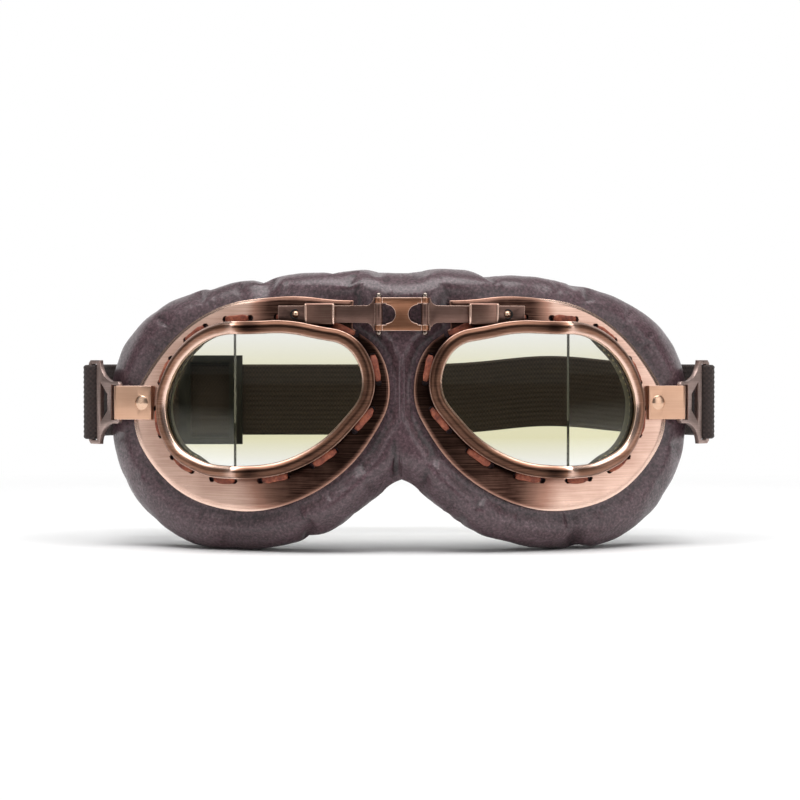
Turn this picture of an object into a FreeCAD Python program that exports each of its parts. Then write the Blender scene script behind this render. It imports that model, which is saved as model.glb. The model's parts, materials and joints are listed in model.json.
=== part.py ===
import FreeCAD, Part
import math
import os

# Aviator goggles with two bent lenses, a sliding bridge and an elastic strap.
# Millimetres and degrees. X runs to the viewer's right, Y to the back, Z up.
# The goggles stand on the lower edge of the pads, with z = 0 on the floor.
# The right half is built, and the left half is its mirror image.

Vec = FreeCAD.Vector
UP = Vec(0, 0, 1)
BACK = Vec(0, 1, 0)

# Lens panes: a front pane and a side pane meet at an upright crease
opening_height = 42.3
front_pane_length = 41.2
side_pane_length = 27.6
front_turn_degrees = 2.5
side_turn_degrees = 35.0
pane_thickness = 2.0
pane_under_rim = 1.6
pane_seam = 0.1
front_opening_shares = [(0, 1), (0.55, 0.985), (0.93, 0.845), (1, 0.63), (0.80, 0.30), (0.42, 0.055), (0, 0)]
side_opening_shares = [(0, 1), (0.5, 0.915), (0.88, 0.68), (1, 0.45), (0.86, 0.175), (0.45, 0.03), (0, 0)]

# Rolled lens rim and rubber gasket
rim_width = 4.2
rim_height = 2.7
rim_lip = 0.9
rim_edge = 0.8
rim_crest_share = 0.5
rim_inner_arc_shares = (0.175, 0.86)
rim_outer_arc_shares = (0.875, 0.8)
gasket_back = 1.2
gasket_lip = 0.6
gasket_clearance = 0.05

# Pressed eyecup: a wall round the lens and a flange that follows the face
cup_sheet = 0.8
wall_offset = 2.2
flange_left = 3.8
flange_nose_margin = 9.0
flange_temple_margin = 12.4
flange_lower_margin = 15.3
flange_upper_margin = 12.4
flange_nose_y = 0.3
flange_bend_x = 12.0
flange_bend_radius = 56.3
flange_turn = 23.0
flange_lean = 6.2
flange_shares = [(0.141, 0.853), (0.045, 0.753), (0, 0.56), (0.085, 0.316), (0.292, 0.09), (0.581, 0),
                 (0.852, 0.119), (1, 0.473), (0.885, 0.747), (0.656, 0.954), (0.425, 1), (0.137, 0.981)]

# Margins of the padded mask round the flange; it stands on its lower edge at z = 0
pad_lower_margin = 12.9
pad_upper_margin = 9.1
pad_side_margin = 8.2

# Places that follow from the opening, the flange and the margins
front_span = front_pane_length * math.cos(math.radians(front_turn_degrees))
side_span = side_pane_length * math.cos(math.radians(side_turn_degrees))
crease_x = flange_left + flange_nose_margin + front_span
flange_width = flange_nose_margin + front_span + side_span + flange_temple_margin
flange_bottom = pad_lower_margin
flange_height = flange_lower_margin + opening_height + flange_upper_margin
opening_bottom = flange_bottom + flange_lower_margin
lean_level = opening_bottom + opening_height / 2
pad_half_width = flange_left + flange_width + pad_side_margin
pad_height = flange_bottom + flange_height + pad_upper_margin

# Lacing: short laced stitches round the wall, through holes in the flange
lace_places = 12
lace_offset = 2.4
lace_length = 9.0
lace_width = 2.2
lace_thickness = 1.0
lace_lift = 0.5
lace_clearance = 0.05
lace_end_share = 0.6
lace_leg_radius = 0.7
lace_hole_radius = 0.9

# Bridge: an hourglass link, two pins and two bars that slide in clips
pin_x = 7.45
pin_radius = 0.6
pin_head_radius = 0.95
pin_head_share = 0.7
bridge_height = 10.7
bridge_sheet = 1.2
knuckle_wall = 0.6
link_prong = 1.9
link_notch_radius = 3.0
link_gap = 1.1
running_clearance = 0.05
knuckle_gap = 0.15
bar_turn = 8.3
bar_height = 5.5
bar_length = 32.7
bar_rise = 0.75
bar_tee_length = 1.6
bar_flare_length = 2.6
bar_flare_sag = 0.5
bar_rivet_place = 27.0
bar_rivet_radius = 1.1
bar_rivet_height = 0.8
bar_rivet_shank = 0.6
clip_place = 14.6
clip_length = 9.3
clip_sheet = 0.8
clip_clearance = 0.1
bridge_z = opening_bottom + opening_height + wall_offset + cup_sheet + bar_rise + bar_height / 2

# Side bracket, its rivet and the strap buckle
bracket_level_share = 0.468
bracket_height = 11.2
rivet_inset = 3.7
bracket_inner = 3.4
bracket_reach = 8.4
bracket_foot = 3.6
bracket_sheet = 0.8
loop_radius = 1.0
side_rivet_radius = 2.4
side_rivet_height = 1.3
side_rivet_shank = 1.1
buckle_turn = 45.0
buckle_sheet = 1.6
buckle_eye_radius = 0.9
buckle_small_height = 14.0
buckle_tall_height = 28.2
buckle_post = 2.0
buckle_slot_end = 3.4
buckle_slot_clearance = 0.3
buckle_sag_share = 0.18
buckle_window_start = 5.4
buckle_window_end = 9.1
buckle_flare_start = 3.6
buckle_flare_end = 9.6
buckle_strap_slot_start = 11.1
buckle_strap_slot_end = 13.5
buckle_length = 15.3
window_short_share = 0.2
window_tall_share = 0.48
bracket_z = opening_bottom + bracket_level_share * opening_height
rivet_x = flange_left + flange_width - rivet_inset

# Elastic strap and its slider
strap_width = 25.0
strap_thickness = 1.6
strap_wrap_radius = 2.2
strap_layer_gap = 0.35
strap_depth = 37.8
strap_bend_radius = 14.0
strap_loop_length = 22.0
slider_x = -66.0
slider_length = 22.0
slider_sheet = 2.2
slider_height = 31.4
slider_slot_height = 26.6
slider_bar = 4.2
slider_clearance = 0.4

# Padded mask: leather cover, foam core and face lining round each eye
pad_depth = 21.0
pad_opening_offset = 3.2
pad_seat_gap = 0.5
pad_roll = 8.0
pad_crown = 1.6
pad_shoulder_share = 0.62
pad_crest_share = 0.83
leather_thickness = 1.2
foam_gap = 0.8
crest_inset_share = 0.4
loft_degree = 3
pad_outline_shares = [(0.067, 0.995), (0.188, 0.993), (0.309, 0.984), (0.617, 0.938), (0.823, 0.862),
                      (0.962, 0.712), (1.0, 0.49), (0.91, 0.18), (0.72, 0.028), (0.514, 0.009),
                      (0.247, 0.074), (0.082, 0.185)]
pad_crown_shares = [0.3, 0.6, 1, 1, 0.8, 0.2, -0.4, 0.2, 1, 1, 1, 0.6]
nose_gap = 0.3
nose_top_sag = 1.5
nose_bottom_z = 21.5
nose_channel_radius = 12.0
nose_channel_depth = 13.0
nose_top_share = 0.5

overrun = 5.0
straight_limit = 1e-6
far = pad_half_width + pad_height


def unit(vector):
    return vector * (1 / vector.Length)


def left_of(direction):
    return Vec(-direction.y, direction.x, 0)


def line(start, end):
    return Part.LineSegment(start, end).toShape()


def arc(start, middle, end):
    return Part.Arc(start, middle, end).toShape()


def smooth_chain(points, start, end):
    # Points joined by pairs of tangent arcs, kept as places with directions
    directions = [start]
    for a, b, c in zip(points, points[1:], points[2:]):
        before = b - a
        after = c - b
        ratio = after.Length / before.Length
        directions.append(unit(before * ratio + after * (1 / ratio)))
    directions.append(end)
    nodes = [(points[0], start)]
    for p, t, q, s in zip(points, directions, points[1:], directions[1:]):
        span = q - p
        bend = 2 * (1 - t.dot(s))
        drift = span.dot(t + s)
        if bend < straight_limit:
            reach = span.dot(span) / (2 * drift)
        else:
            reach = (math.sqrt(drift ** 2 + bend * span.dot(span)) - drift) / bend
        first = p + t * reach
        second = q - s * reach
        nodes.append(((first + second) * 0.5, unit(second - first)))
        nodes.append((q, s))
    return nodes


def offset_chain(nodes, offset):
    return [(p + left_of(t) * offset, t) for p, t in nodes]


def arc_middle(start, direction, end):
    chord = end - start
    along = unit(chord)
    across = direction - along * direction.dot(along)
    if across.Length < straight_limit:
        return None
    angle = math.atan2(across.Length, direction.dot(along))
    return (start + end) * 0.5 + unit(across) * (chord.Length / 2 * math.tan(angle / 2))


def chain_edges(nodes, place):
    edges = []
    for (p, t), (q, s) in zip(nodes, nodes[1:]):
        if (q - p).Length < straight_limit:
            continue
        middle = arc_middle(p, t, q)
        if middle is None:
            edges.append(Part.LineSegment(place(p), place(q)).toShape())
        else:
            edges.append(Part.Arc(place(p), place(middle), place(q)).toShape())
    return edges


def closed_face(edges):
    first = edges[0].firstVertex(True).Point
    last = edges[-1].lastVertex(True).Point
    return Part.Face(Part.Wire(edges + [Part.LineSegment(last, first).toShape()]))


def polygon_face(points):
    return Part.Face(Part.makePolygon(points + [points[0]]))


def mirrored(shape):
    return shape.mirror(Vec(0, 0, 0), Vec(1, 0, 0))


def box_between(low, high):
    size = high - low
    return Part.makeBox(size.x, size.y, size.z, low)


# The two panes and everything that follows their outline
class Pane:
    def __init__(self, toward, turn_degrees, shares, length):
        angle = math.radians(turn_degrees)
        self.along = Vec(math.cos(angle), math.sin(angle), 0) * toward
        self.back = Vec(-math.sin(angle), math.cos(angle), 0)
        points = [Vec(u * length, opening_bottom + v * opening_height, 0) for u, v in shares]
        self.nodes = smooth_chain(points, Vec(1, 0, 0), Vec(-1, 0, 0))

    def place(self, point, depth=0):
        return Vec(crease_x, 0, 0) + self.along * point.x + UP * point.y + self.back * depth

    def face(self, offset):
        return closed_face(chain_edges(offset_chain(self.nodes, offset), self.place))

    def extended_face(self, offset, depth):
        nodes = offset_chain(self.nodes, offset)
        ahead = Vec(-overrun, 0, 0)
        nodes = [(nodes[0][0] + ahead, nodes[0][1])] + nodes + [(nodes[-1][0] + ahead, nodes[-1][1])]
        return closed_face(chain_edges(nodes, lambda p: self.place(p, depth)))

    def sweep(self, profile):
        ahead = Vec(-overrun, 0, 0)
        top, level = self.nodes[0]
        bottom, back_level = self.nodes[-1]
        nodes = [(top + ahead, level)] + self.nodes + [(bottom + ahead, back_level)]
        path = Part.Wire(chain_edges(nodes, self.place))
        start = self.place(top + ahead)
        wire = Part.Wire(profile(lambda o, d: start + UP * o + self.back * d))
        return path.makePipeShell([wire], True, False)


front_pane = Pane(-1, front_turn_degrees, front_opening_shares, front_pane_length)
side_pane = Pane(1, side_turn_degrees, side_opening_shares, side_pane_length)
mitre_back = unit(front_pane.back + side_pane.back)
mitre_nose = Vec(-mitre_back.y, mitre_back.x, 0)


def mitre_half(toward):
    # All space on one side of the upright plane that halves the crease
    corner = Vec(crease_x, 0, -far)
    points = [corner + mitre_back * far, corner - mitre_back * far,
              corner - mitre_back * far + toward * far, corner + mitre_back * far + toward * far]
    return polygon_face(points).extrude(UP * (2 * far))


nose_half = mitre_half(mitre_nose)
temple_half = mitre_half(-mitre_nose)


def bent_ring(profile):
    front = front_pane.sweep(profile).common(nose_half)
    side = side_pane.sweep(profile).common(temple_half)
    return front.fuse(side).removeSplitter()


def eye_prism(offset, ahead, length):
    # The eye outline carried straight back, from a little ahead of the panes
    front = front_pane.face(offset).extrude(BACK * length)
    side = side_pane.face(offset).extrude(BACK * length)
    prism = front.fuse(side).removeSplitter()
    prism.translate(BACK * -ahead)
    return prism


def lens_rim():
    def profile(at):
        def part_way(shares):
            return at(rim_width * shares[0], -rim_height * shares[1])
        crest = at(rim_width * rim_crest_share, -rim_height)
        return [line(at(0, 0), at(0, -rim_lip)),
                arc(at(0, -rim_lip), part_way(rim_inner_arc_shares), crest),
                arc(crest, part_way(rim_outer_arc_shares), at(rim_width, -rim_edge)),
                line(at(rim_width, -rim_edge), at(rim_width, 0)),
                line(at(rim_width, 0), at(0, 0))]
    return bent_ring(profile)


def lens_gasket():
    # A ring wider than the wall leaves room for, trimmed to the wall's inside
    outer = wall_offset + gasket_back
    edge = pane_under_rim + gasket_clearance
    rear = pane_thickness + gasket_back
    corners = [(edge, 0), (outer, 0), (outer, rear), (gasket_lip, rear), (gasket_lip, pane_thickness),
               (edge, pane_thickness)]

    def profile(at):
        points = [at(o, d) for o, d in corners]
        return Part.makePolygon(points + [points[0]]).Edges
    room = eye_prism(wall_offset - gasket_clearance, overrun, pad_half_width)
    return bent_ring(profile).common(room)


def lens_pane(pane, half, toward):
    plate = pane.extended_face(pane_under_rim, 0).extrude(pane.back * pane_thickness)
    keep = half.copy()
    keep.translate(toward * (pane_seam / 2))
    return plate.common(keep)


# The flange surface: level at the nose, bent back towards the temple, leaning back at the top
turn = math.radians(flange_turn)
lean_slope = math.tan(math.radians(flange_lean))
bend_end = Vec(flange_bend_x + flange_bend_radius * math.sin(turn),
               flange_nose_y + flange_bend_radius * (1 - math.cos(turn)), 0)


def flange_y(x, z):
    if x < flange_bend_x:
        y = flange_nose_y
    elif x < bend_end.x:
        over = x - flange_bend_x
        y = flange_nose_y + flange_bend_radius - math.sqrt(flange_bend_radius ** 2 - over ** 2)
    else:
        y = bend_end.y + (x - bend_end.x) * math.tan(turn)
    return y + lean_slope * (z - lean_level)


def surface_edges(shift):
    down = Vec(0, shift + lean_slope * (-far - lean_level), -far)
    start = Vec(-far, flange_nose_y, 0) + down
    bend = Vec(flange_bend_x, flange_nose_y, 0) + down
    half = turn / 2
    middle = Vec(flange_bend_x + flange_bend_radius * math.sin(half),
                 flange_nose_y + flange_bend_radius * (1 - math.cos(half)), 0) + down
    last = bend_end + Vec(math.cos(turn), math.sin(turn), 0) * far + down
    return [Part.LineSegment(start, bend).toShape(), Part.Arc(bend, middle, bend_end + down).toShape(),
            Part.LineSegment(bend_end + down, last).toShape()]


def ahead_of_surface(shift):
    # All space in front of the flange surface moved back by a distance
    edges = surface_edges(shift)
    start = edges[0].firstVertex(True).Point
    last = edges[-1].lastVertex(True).Point
    front_y = start.y - 3 * far
    corners = [last, Vec(last.x, front_y, last.z), Vec(start.x, front_y, start.z), start]
    edges += [Part.LineSegment(a, b).toShape() for a, b in zip(corners, corners[1:])]
    return Part.Face(Part.Wire(edges)).extrude(Vec(0, lean_slope * 2 * far, 2 * far))


def flange_prism(offset):
    points = [Vec(flange_left + u * flange_width, flange_bottom + v * flange_height, 0)
              for u, v in flange_shares]
    nodes = smooth_chain(points, unit(points[1] - points[0]), Vec(-1, 0, 0))
    nodes = offset_chain(nodes, -offset)
    face = closed_face(chain_edges(nodes, lambda p: Vec(p.x, -far, p.y)))
    return face.extrude(BACK * (2 * far))


temple_along = Vec(math.cos(turn), math.sin(turn), 0)
temple_out = Vec(math.sin(turn), -math.cos(turn), 0)
rivet_spot = Vec(rivet_x, flange_y(rivet_x, bracket_z), bracket_z)
loop_outer = loop_radius + bracket_sheet
buckle_axis = rivet_spot + temple_along * bracket_reach + temple_out * loop_outer

bar_angle = math.radians(bar_turn)
bar_along = Vec(math.cos(bar_angle), math.sin(bar_angle), 0)
bar_out = Vec(math.sin(bar_angle), -math.cos(bar_angle), 0)
pin_spot = Vec(pin_x, 0, bridge_z)


def bar_point(along, out, up):
    return pin_spot + bar_along * along + bar_out * out + UP * up


def lace_point(travel):
    # The place a distance along the eye outline, from the top of the crease by way of the temple,
    # laid on the flange
    side_wire, front_wire = lace_wires
    total = side_wire.Length + front_wire.Length
    travel = travel % total
    if travel < side_wire.Length:
        pane, nodes, left_over = side_pane, side_lace_nodes, travel
    else:
        pane, nodes, left_over = front_pane, front_lace_nodes, total - travel
    for (p, t), (q, s) in zip(nodes, nodes[1:]):
        middle = arc_middle(p, t, q)
        edge = Part.LineSegment(p, q) if middle is None else Part.Arc(p, middle, q)
        shape = edge.toShape()
        if left_over <= shape.Length or q is nodes[-1][0]:
            spot = shape.valueAt(shape.getParameterByLength(min(left_over, shape.Length)))
            break
        left_over -= shape.Length
    spot = pane.place(spot)
    return Vec(spot.x, flange_y(spot.x, spot.z), spot.z)


lace_total_offset = wall_offset + cup_sheet + lace_offset
side_lace_nodes = offset_chain(side_pane.nodes, lace_total_offset)
front_lace_nodes = offset_chain(front_pane.nodes, lace_total_offset)
lace_wires = [Part.Wire(chain_edges(nodes, lambda p: p)) for nodes in (side_lace_nodes, front_lace_nodes)]
lace_step = (lace_wires[0].Length + lace_wires[1].Length) / lace_places
clip_middle = bar_point(clip_place + clip_length / 2, 0, 0)
lace_ends = []
for index in range(lace_places):
    ends = [lace_point(lace_step * index + side * lace_length / 2) for side in (-1, 1)]
    if abs((ends[0] + ends[1]).x / 2 - clip_middle.x) > clip_length or ends[0].z < lean_level:
        lace_ends.append(ends)


def eyecup():
    deep = pad_half_width
    outer = eye_prism(wall_offset + cup_sheet, 0, deep)
    inner = eye_prism(wall_offset, overrun, deep + overrun)
    ahead_of_back = ahead_of_surface(cup_sheet)
    wall = outer.common(ahead_of_back)
    flange = ahead_of_back.common(flange_prism(0)).cut(ahead_of_surface(0))
    cup = wall.fuse(flange).cut(inner)
    for ends in lace_ends:
        for spot in ends:
            cup = cup.cut(Part.makeCylinder(lace_hole_radius, 2 * overrun, spot - BACK * overrun, BACK))
    hole = side_rivet_shank + running_clearance
    cup = cup.cut(Part.makeCylinder(hole, 2 * overrun, rivet_spot - temple_out * overrun, temple_out))
    return cup.removeSplitter()


def lacing():
    ahead_of_flange = ahead_of_surface(-lace_clearance)
    under_rim = eye_prism(rim_width + lace_clearance, pad_half_width, 2 * pad_half_width)
    stitches = []
    for start, end in lace_ends:
        middle = (start + end) * 0.5 - BACK * lace_lift
        top = middle - BACK * lace_thickness
        lift = BACK * (-lace_thickness * lace_end_share)
        outer = Part.Arc(start + lift, top, end + lift).toShape()
        inner = Part.Arc(start, middle, end).toShape()
        sides = [Part.LineSegment(start, start + lift).toShape(), Part.LineSegment(end, end + lift).toShape()]
        across = unit(BACK.cross(end - start))
        band = Part.Face(Part.Wire(Part.sortEdges([outer, inner] + sides)[0])).extrude(across * lace_width)
        band.translate(across * (-lace_width / 2))
        band = band.common(ahead_of_flange).cut(under_rim)
        legs = [Part.makeCylinder(lace_leg_radius, cup_sheet + lace_thickness * lace_end_share,
                                  spot + BACK * cup_sheet, BACK * -1) for spot in (start, end)]
        stitches.append(band.fuse(legs[0]).fuse(legs[1]).removeSplitter())
    return Part.makeCompound(stitches)


# Bridge pieces
def pin_bore(spot):
    # A running fit for a hinge pin, right through the bridge
    bore = pin_radius + running_clearance
    return Part.makeCylinder(bore, 2 * bridge_height, spot - UP * bridge_height, UP)


def hinge_pin():
    half = bridge_height / 2
    base = pin_spot - UP * half
    shank = Part.makeCylinder(pin_radius, bridge_height, base, UP)
    reach = half + pin_head_radius * pin_head_share
    heads = [Part.makeSphere(pin_head_radius, pin_spot + UP * (side * reach)) for side in (-1, 1)]
    clear = box_between(pin_spot - Vec(overrun, overrun, half), pin_spot + Vec(overrun, overrun, half))
    return shank.fuse([head.cut(clear) for head in heads]).removeSplitter()


def bridge_bar():
    half = bar_height / 2
    tee = bridge_height / 2 - link_prong - knuckle_gap
    knuckle = pin_radius + running_clearance + knuckle_wall
    back = -bridge_sheet / 2
    flare = bar_tee_length + bar_flare_length

    def at(along, up):
        return bar_point(along, back, up)
    tall = bridge_height / 2
    clear = knuckle + knuckle_gap

    def half_outline(side):
        # From the hinge end to the plain end, with a hollow flare between them
        middle = at((bar_tee_length + flare) / 2 - bar_flare_sag, side * ((tall + half) / 2 - bar_flare_sag))
        steps = ((0, 0), (0, tee), (clear, tee), (clear, tall), (bar_tee_length, tall))
        corners = [at(a, side * u) for a, u in steps]
        edges = [line(a, b) for a, b in zip(corners, corners[1:])]
        edges.append(arc(corners[-1], middle, at(flare, side * half)))
        edges.append(line(at(flare, side * half), at(bar_length, side * half)))
        edges.append(line(at(bar_length, side * half), at(bar_length, 0)))
        return edges
    outline = Part.Wire(Part.sortEdges(half_outline(1) + half_outline(-1))[0])
    plate = Part.Face(outline).extrude(bar_out * bridge_sheet)
    roll = Part.makeCylinder(knuckle, 2 * tee, pin_spot - UP * tee, UP)
    bar = plate.fuse(roll)
    hole = Part.makeCylinder(bar_rivet_shank, 2 * overrun, bar_point(bar_rivet_place, -overrun, 0), bar_out)
    return bar.cut(pin_bore(pin_spot)).cut(hole).removeSplitter()


def dome(radius, height, spot, out):
    # A shallow round head standing on a spot
    ball = (radius ** 2 + height ** 2) / (2 * height)
    head = Part.makeSphere(ball, spot + out * (height - ball))
    keep = Part.makeCylinder(radius, height, spot, out)
    return head.common(keep)


def bar_rivet():
    face = bar_point(bar_rivet_place, bridge_sheet / 2, 0)
    shank = Part.makeCylinder(bar_rivet_shank, bridge_sheet, face, bar_out * -1)
    return dome(bar_rivet_radius, bar_rivet_height, face, bar_out).fuse(shank).removeSplitter()


def bridge_link():
    half = bridge_height / 2
    thick = bridge_sheet / 2
    knuckle = pin_radius + running_clearance + knuckle_wall
    plate = box_between(Vec(-pin_x, -thick, bridge_z - half), Vec(pin_x, thick, bridge_z + half))
    tee = half - link_prong
    for side in (-1, 1):
        spot = Vec(side * pin_x, 0, bridge_z)
        inner = pin_x - knuckle - link_gap
        window = box_between(Vec(-overrun, -overrun, -tee), Vec(overrun, overrun, tee))
        window.translate(Vec(side * (inner + overrun), 0, bridge_z))
        notch = Part.makeCylinder(link_notch_radius, 2 * overrun, Vec(side * inner, -overrun, bridge_z), BACK)
        plate = plate.cut(window).cut(notch)
        prongs = [Part.makeCylinder(knuckle, link_prong, spot + UP * low, UP) for low in (-half, tee)]
        plate = plate.fuse(prongs).cut(pin_bore(spot))
    return plate.removeSplitter()


def bridge_clip():
    inner_up = bar_height / 2 + clip_clearance
    inner_out = bridge_sheet / 2 + clip_clearance
    outer_up = inner_up + clip_sheet
    outer_out = inner_out + clip_sheet
    start = clip_place
    end = clip_place + clip_length
    foot = overrun + bridge_sheet
    corners = [(start, -foot), (end, -foot), (end, outer_out), (start, outer_out)]
    block = polygon_face([bar_point(a, o, -outer_up) for a, o in corners]).extrude(UP * (2 * outer_up))
    rounded = [edge for edge in block.Edges if abs(edge.tangentAt(edge.FirstParameter).dot(bar_along)) > 0.9
               and (edge.CenterOfMass - pin_spot).dot(bar_out) > 0]
    block = block.makeFillet(clip_sheet, rounded)
    hollow = [(start - overrun, -inner_out), (end + overrun, -inner_out), (end + overrun, inner_out),
              (start - overrun, inner_out)]
    tunnel = polygon_face([bar_point(a, o, -inner_up) for a, o in hollow]).extrude(UP * (2 * inner_up))
    return block.cut(tunnel).common(ahead_of_surface(0)).removeSplitter()


# Side pieces
def strap_bracket():
    def at(along, out):
        return rivet_spot + temple_along * along + temple_out * out - UP * (bracket_height / 2)
    pad = 2 * bracket_sheet
    flat = side_rivet_radius
    turn_point = at(bracket_reach + loop_outer, loop_outer)
    rear = at(bracket_reach, 0)
    front = at(bracket_reach, 2 * loop_outer)
    outer = Part.Face(Part.Wire([
        Part.LineSegment(at(-bracket_inner, 0), rear).toShape(), Part.Arc(rear, turn_point, front).toShape(),
        Part.LineSegment(front, at(flat, pad)).toShape(),
        Part.LineSegment(at(flat, pad), at(-bracket_inner, pad)).toShape(),
        Part.LineSegment(at(-bracket_inner, pad), at(-bracket_inner, 0)).toShape()]))
    low = at(bracket_reach, bracket_sheet)
    high = at(bracket_reach, loop_outer + loop_radius)
    tip = at(flat, bracket_sheet)
    inner = Part.Face(Part.Wire([
        Part.LineSegment(tip, low).toShape(),
        Part.Arc(low, at(bracket_reach + loop_radius, loop_outer), high).toShape(),
        Part.LineSegment(high, tip).toShape()]))
    strip = outer.cut(inner).extrude(UP * bracket_height)
    foot_corners = [(-bracket_inner, -bracket_sheet), (bracket_foot, -bracket_sheet), (bracket_foot, 0),
                    (-bracket_inner, 0)]
    foot = polygon_face([at(a, o) for a, o in foot_corners]).extrude(UP * bracket_height)
    strip = strip.fuse(foot).common(ahead_of_surface(0))
    bore = side_rivet_shank + running_clearance
    hole = Part.makeCylinder(bore, 2 * overrun, rivet_spot - temple_out * overrun, temple_out)
    return strip.cut(hole).removeSplitter()


def bracket_rivet():
    face = rivet_spot + temple_out * (2 * bracket_sheet)
    length = 2 * bracket_sheet + cup_sheet * math.cos(turn)
    shank = Part.makeCylinder(side_rivet_shank, length, face, temple_out * -1)
    return dome(side_rivet_radius, side_rivet_height, face, temple_out).fuse(shank).removeSplitter()


buckle_angle = math.radians(buckle_turn)
buckle_along = Vec(math.cos(buckle_angle), math.sin(buckle_angle), 0)
buckle_out = Vec(math.sin(buckle_angle), -math.cos(buckle_angle), 0)


def buckle():
    half = buckle_sheet / 2

    def at(along, up):
        return buckle_axis + buckle_along * along - buckle_out * half + UP * up
    small = buckle_small_height / 2
    tall = buckle_tall_height / 2
    corner = buckle_post / 2
    sag = (buckle_flare_end - buckle_flare_start) * buckle_sag_share

    def flare(side):
        start = at(buckle_flare_start, side * small)
        end = at(buckle_flare_end, side * tall)
        middle = (buckle_flare_start + buckle_flare_end) / 2
        return start, at(middle + sag, side * ((small + tall) / 2 - sag)), end
    low_start, low_middle, low_end = flare(-1)
    high_start, high_middle, high_end = flare(1)
    nose = -buckle_eye_radius
    outline = [
        Part.LineSegment(at(nose, -small + corner), at(0, -small)).toShape(),
        Part.LineSegment(at(0, -small), low_start).toShape(),
        Part.Arc(low_start, low_middle, low_end).toShape(),
        Part.LineSegment(low_end, at(buckle_length - corner, -tall)).toShape(),
        Part.LineSegment(at(buckle_length - corner, -tall), at(buckle_length, -tall + corner)).toShape(),
        Part.LineSegment(at(buckle_length, -tall + corner), at(buckle_length, tall - corner)).toShape(),
        Part.LineSegment(at(buckle_length, tall - corner), at(buckle_length - corner, tall)).toShape(),
        Part.LineSegment(at(buckle_length - corner, tall), high_end).toShape(),
        Part.Arc(high_end, high_middle, high_start).toShape(),
        Part.LineSegment(high_start, at(0, small)).toShape(),
        Part.LineSegment(at(0, small), at(nose, small - corner)).toShape(),
        Part.LineSegment(at(nose, small - corner), at(nose, -small + corner)).toShape()]
    plate = Part.Face(Part.Wire(outline)).extrude(buckle_out * buckle_sheet)
    slot = bracket_height / 2 + buckle_slot_clearance
    short = buckle_tall_height * window_short_share / 2
    long = buckle_tall_height * window_tall_share / 2
    strap_slot = strap_width / 2 + strap_layer_gap
    holes = [
        [(nose - overrun, -slot), (buckle_slot_end, -slot), (buckle_slot_end, slot), (nose - overrun, slot)],
        [(buckle_window_start, -short), (buckle_window_end, -long), (buckle_window_end, long),
         (buckle_window_start, short)],
        [(buckle_strap_slot_start, -strap_slot), (buckle_strap_slot_end, -strap_slot),
         (buckle_strap_slot_end, strap_slot), (buckle_strap_slot_start, strap_slot)]]
    for corners in holes:
        cutter = polygon_face([at(a, u) - buckle_out * overrun for a, u in corners])
        plate = plate.cut(cutter.extrude(buckle_out * (2 * overrun + buckle_sheet)))
    reach = small - corner
    rod = Part.makeCylinder(buckle_eye_radius, 2 * reach, buckle_axis - UP * reach, UP)
    return plate.fuse(rod).removeSplitter()


# Strap: one ribbon from the slider's end bar, round both buckles, to its sewn end
strap_bar_along = (buckle_strap_slot_end + buckle_length) / 2
strap_bar = buckle_axis + buckle_along * strap_bar_along
strap_back_y = strap_bar.y + strap_depth


def rounded_path(corners):
    # Straight runs with a tangent arc at each inner corner, as places with directions
    nodes = []
    for index, (spot, radius) in enumerate(corners):
        if index == 0:
            nodes.append((spot, unit(corners[1][0] - spot)))
        elif index == len(corners) - 1:
            nodes.append((spot, unit(spot - corners[index - 1][0])))
        else:
            before = unit(spot - corners[index - 1][0])
            after = unit(corners[index + 1][0] - spot)
            half_turn = before.getAngle(after) / 2
            back_off = radius * math.tan(half_turn)
            nodes.append((spot - before * back_off, before))
            nodes.append((spot + after * back_off, after))
    return nodes


def strap():
    wrap = strap_wrap_radius
    layer = strap_thickness + strap_layer_gap
    outside = strap_bar.x + wrap
    inside = strap_bar.x - wrap
    front = strap_bar.y - wrap
    loop_end = strap_bar.y + strap_loop_length
    bend = strap_bend_radius
    tail = bend - layer
    tail_y = strap_back_y - layer
    corners = [(Vec(slider_x - slider_length / 2 - wrap, tail_y, 0), 0),
               (Vec(-outside + layer, tail_y, 0), tail),
               (Vec(-outside + layer, loop_end, 0), bend),
               (Vec(-inside, strap_bar.y + wrap, 0), bend),
               (Vec(-inside, front, 0), wrap),
               (Vec(-outside, front, 0), wrap),
               (Vec(-outside, strap_back_y, 0), bend),
               (Vec(outside, strap_back_y, 0), bend),
               (Vec(outside, front, 0), wrap),
               (Vec(inside, front, 0), wrap),
               (Vec(inside, strap_bar.y + wrap, 0), bend),
               (Vec(outside - layer, loop_end, 0), 0)]
    low = bracket_z - strap_width / 2
    nodes = rounded_path(corners)
    half = strap_thickness / 2

    def place(point):
        return Vec(point.x, point.y, low)
    one_side = chain_edges(offset_chain(nodes, half), place)
    other_side = chain_edges(offset_chain(nodes, -half), place)
    starts = [side[0].firstVertex(True).Point for side in (one_side, other_side)]
    stops = [side[-1].lastVertex(True).Point for side in (one_side, other_side)]
    ends = [Part.LineSegment(*pair).toShape() for pair in (starts, stops)]
    wire = Part.Wire(Part.sortEdges(one_side + other_side + ends)[0])
    return Part.Face(wire).extrude(UP * strap_width)


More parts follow.
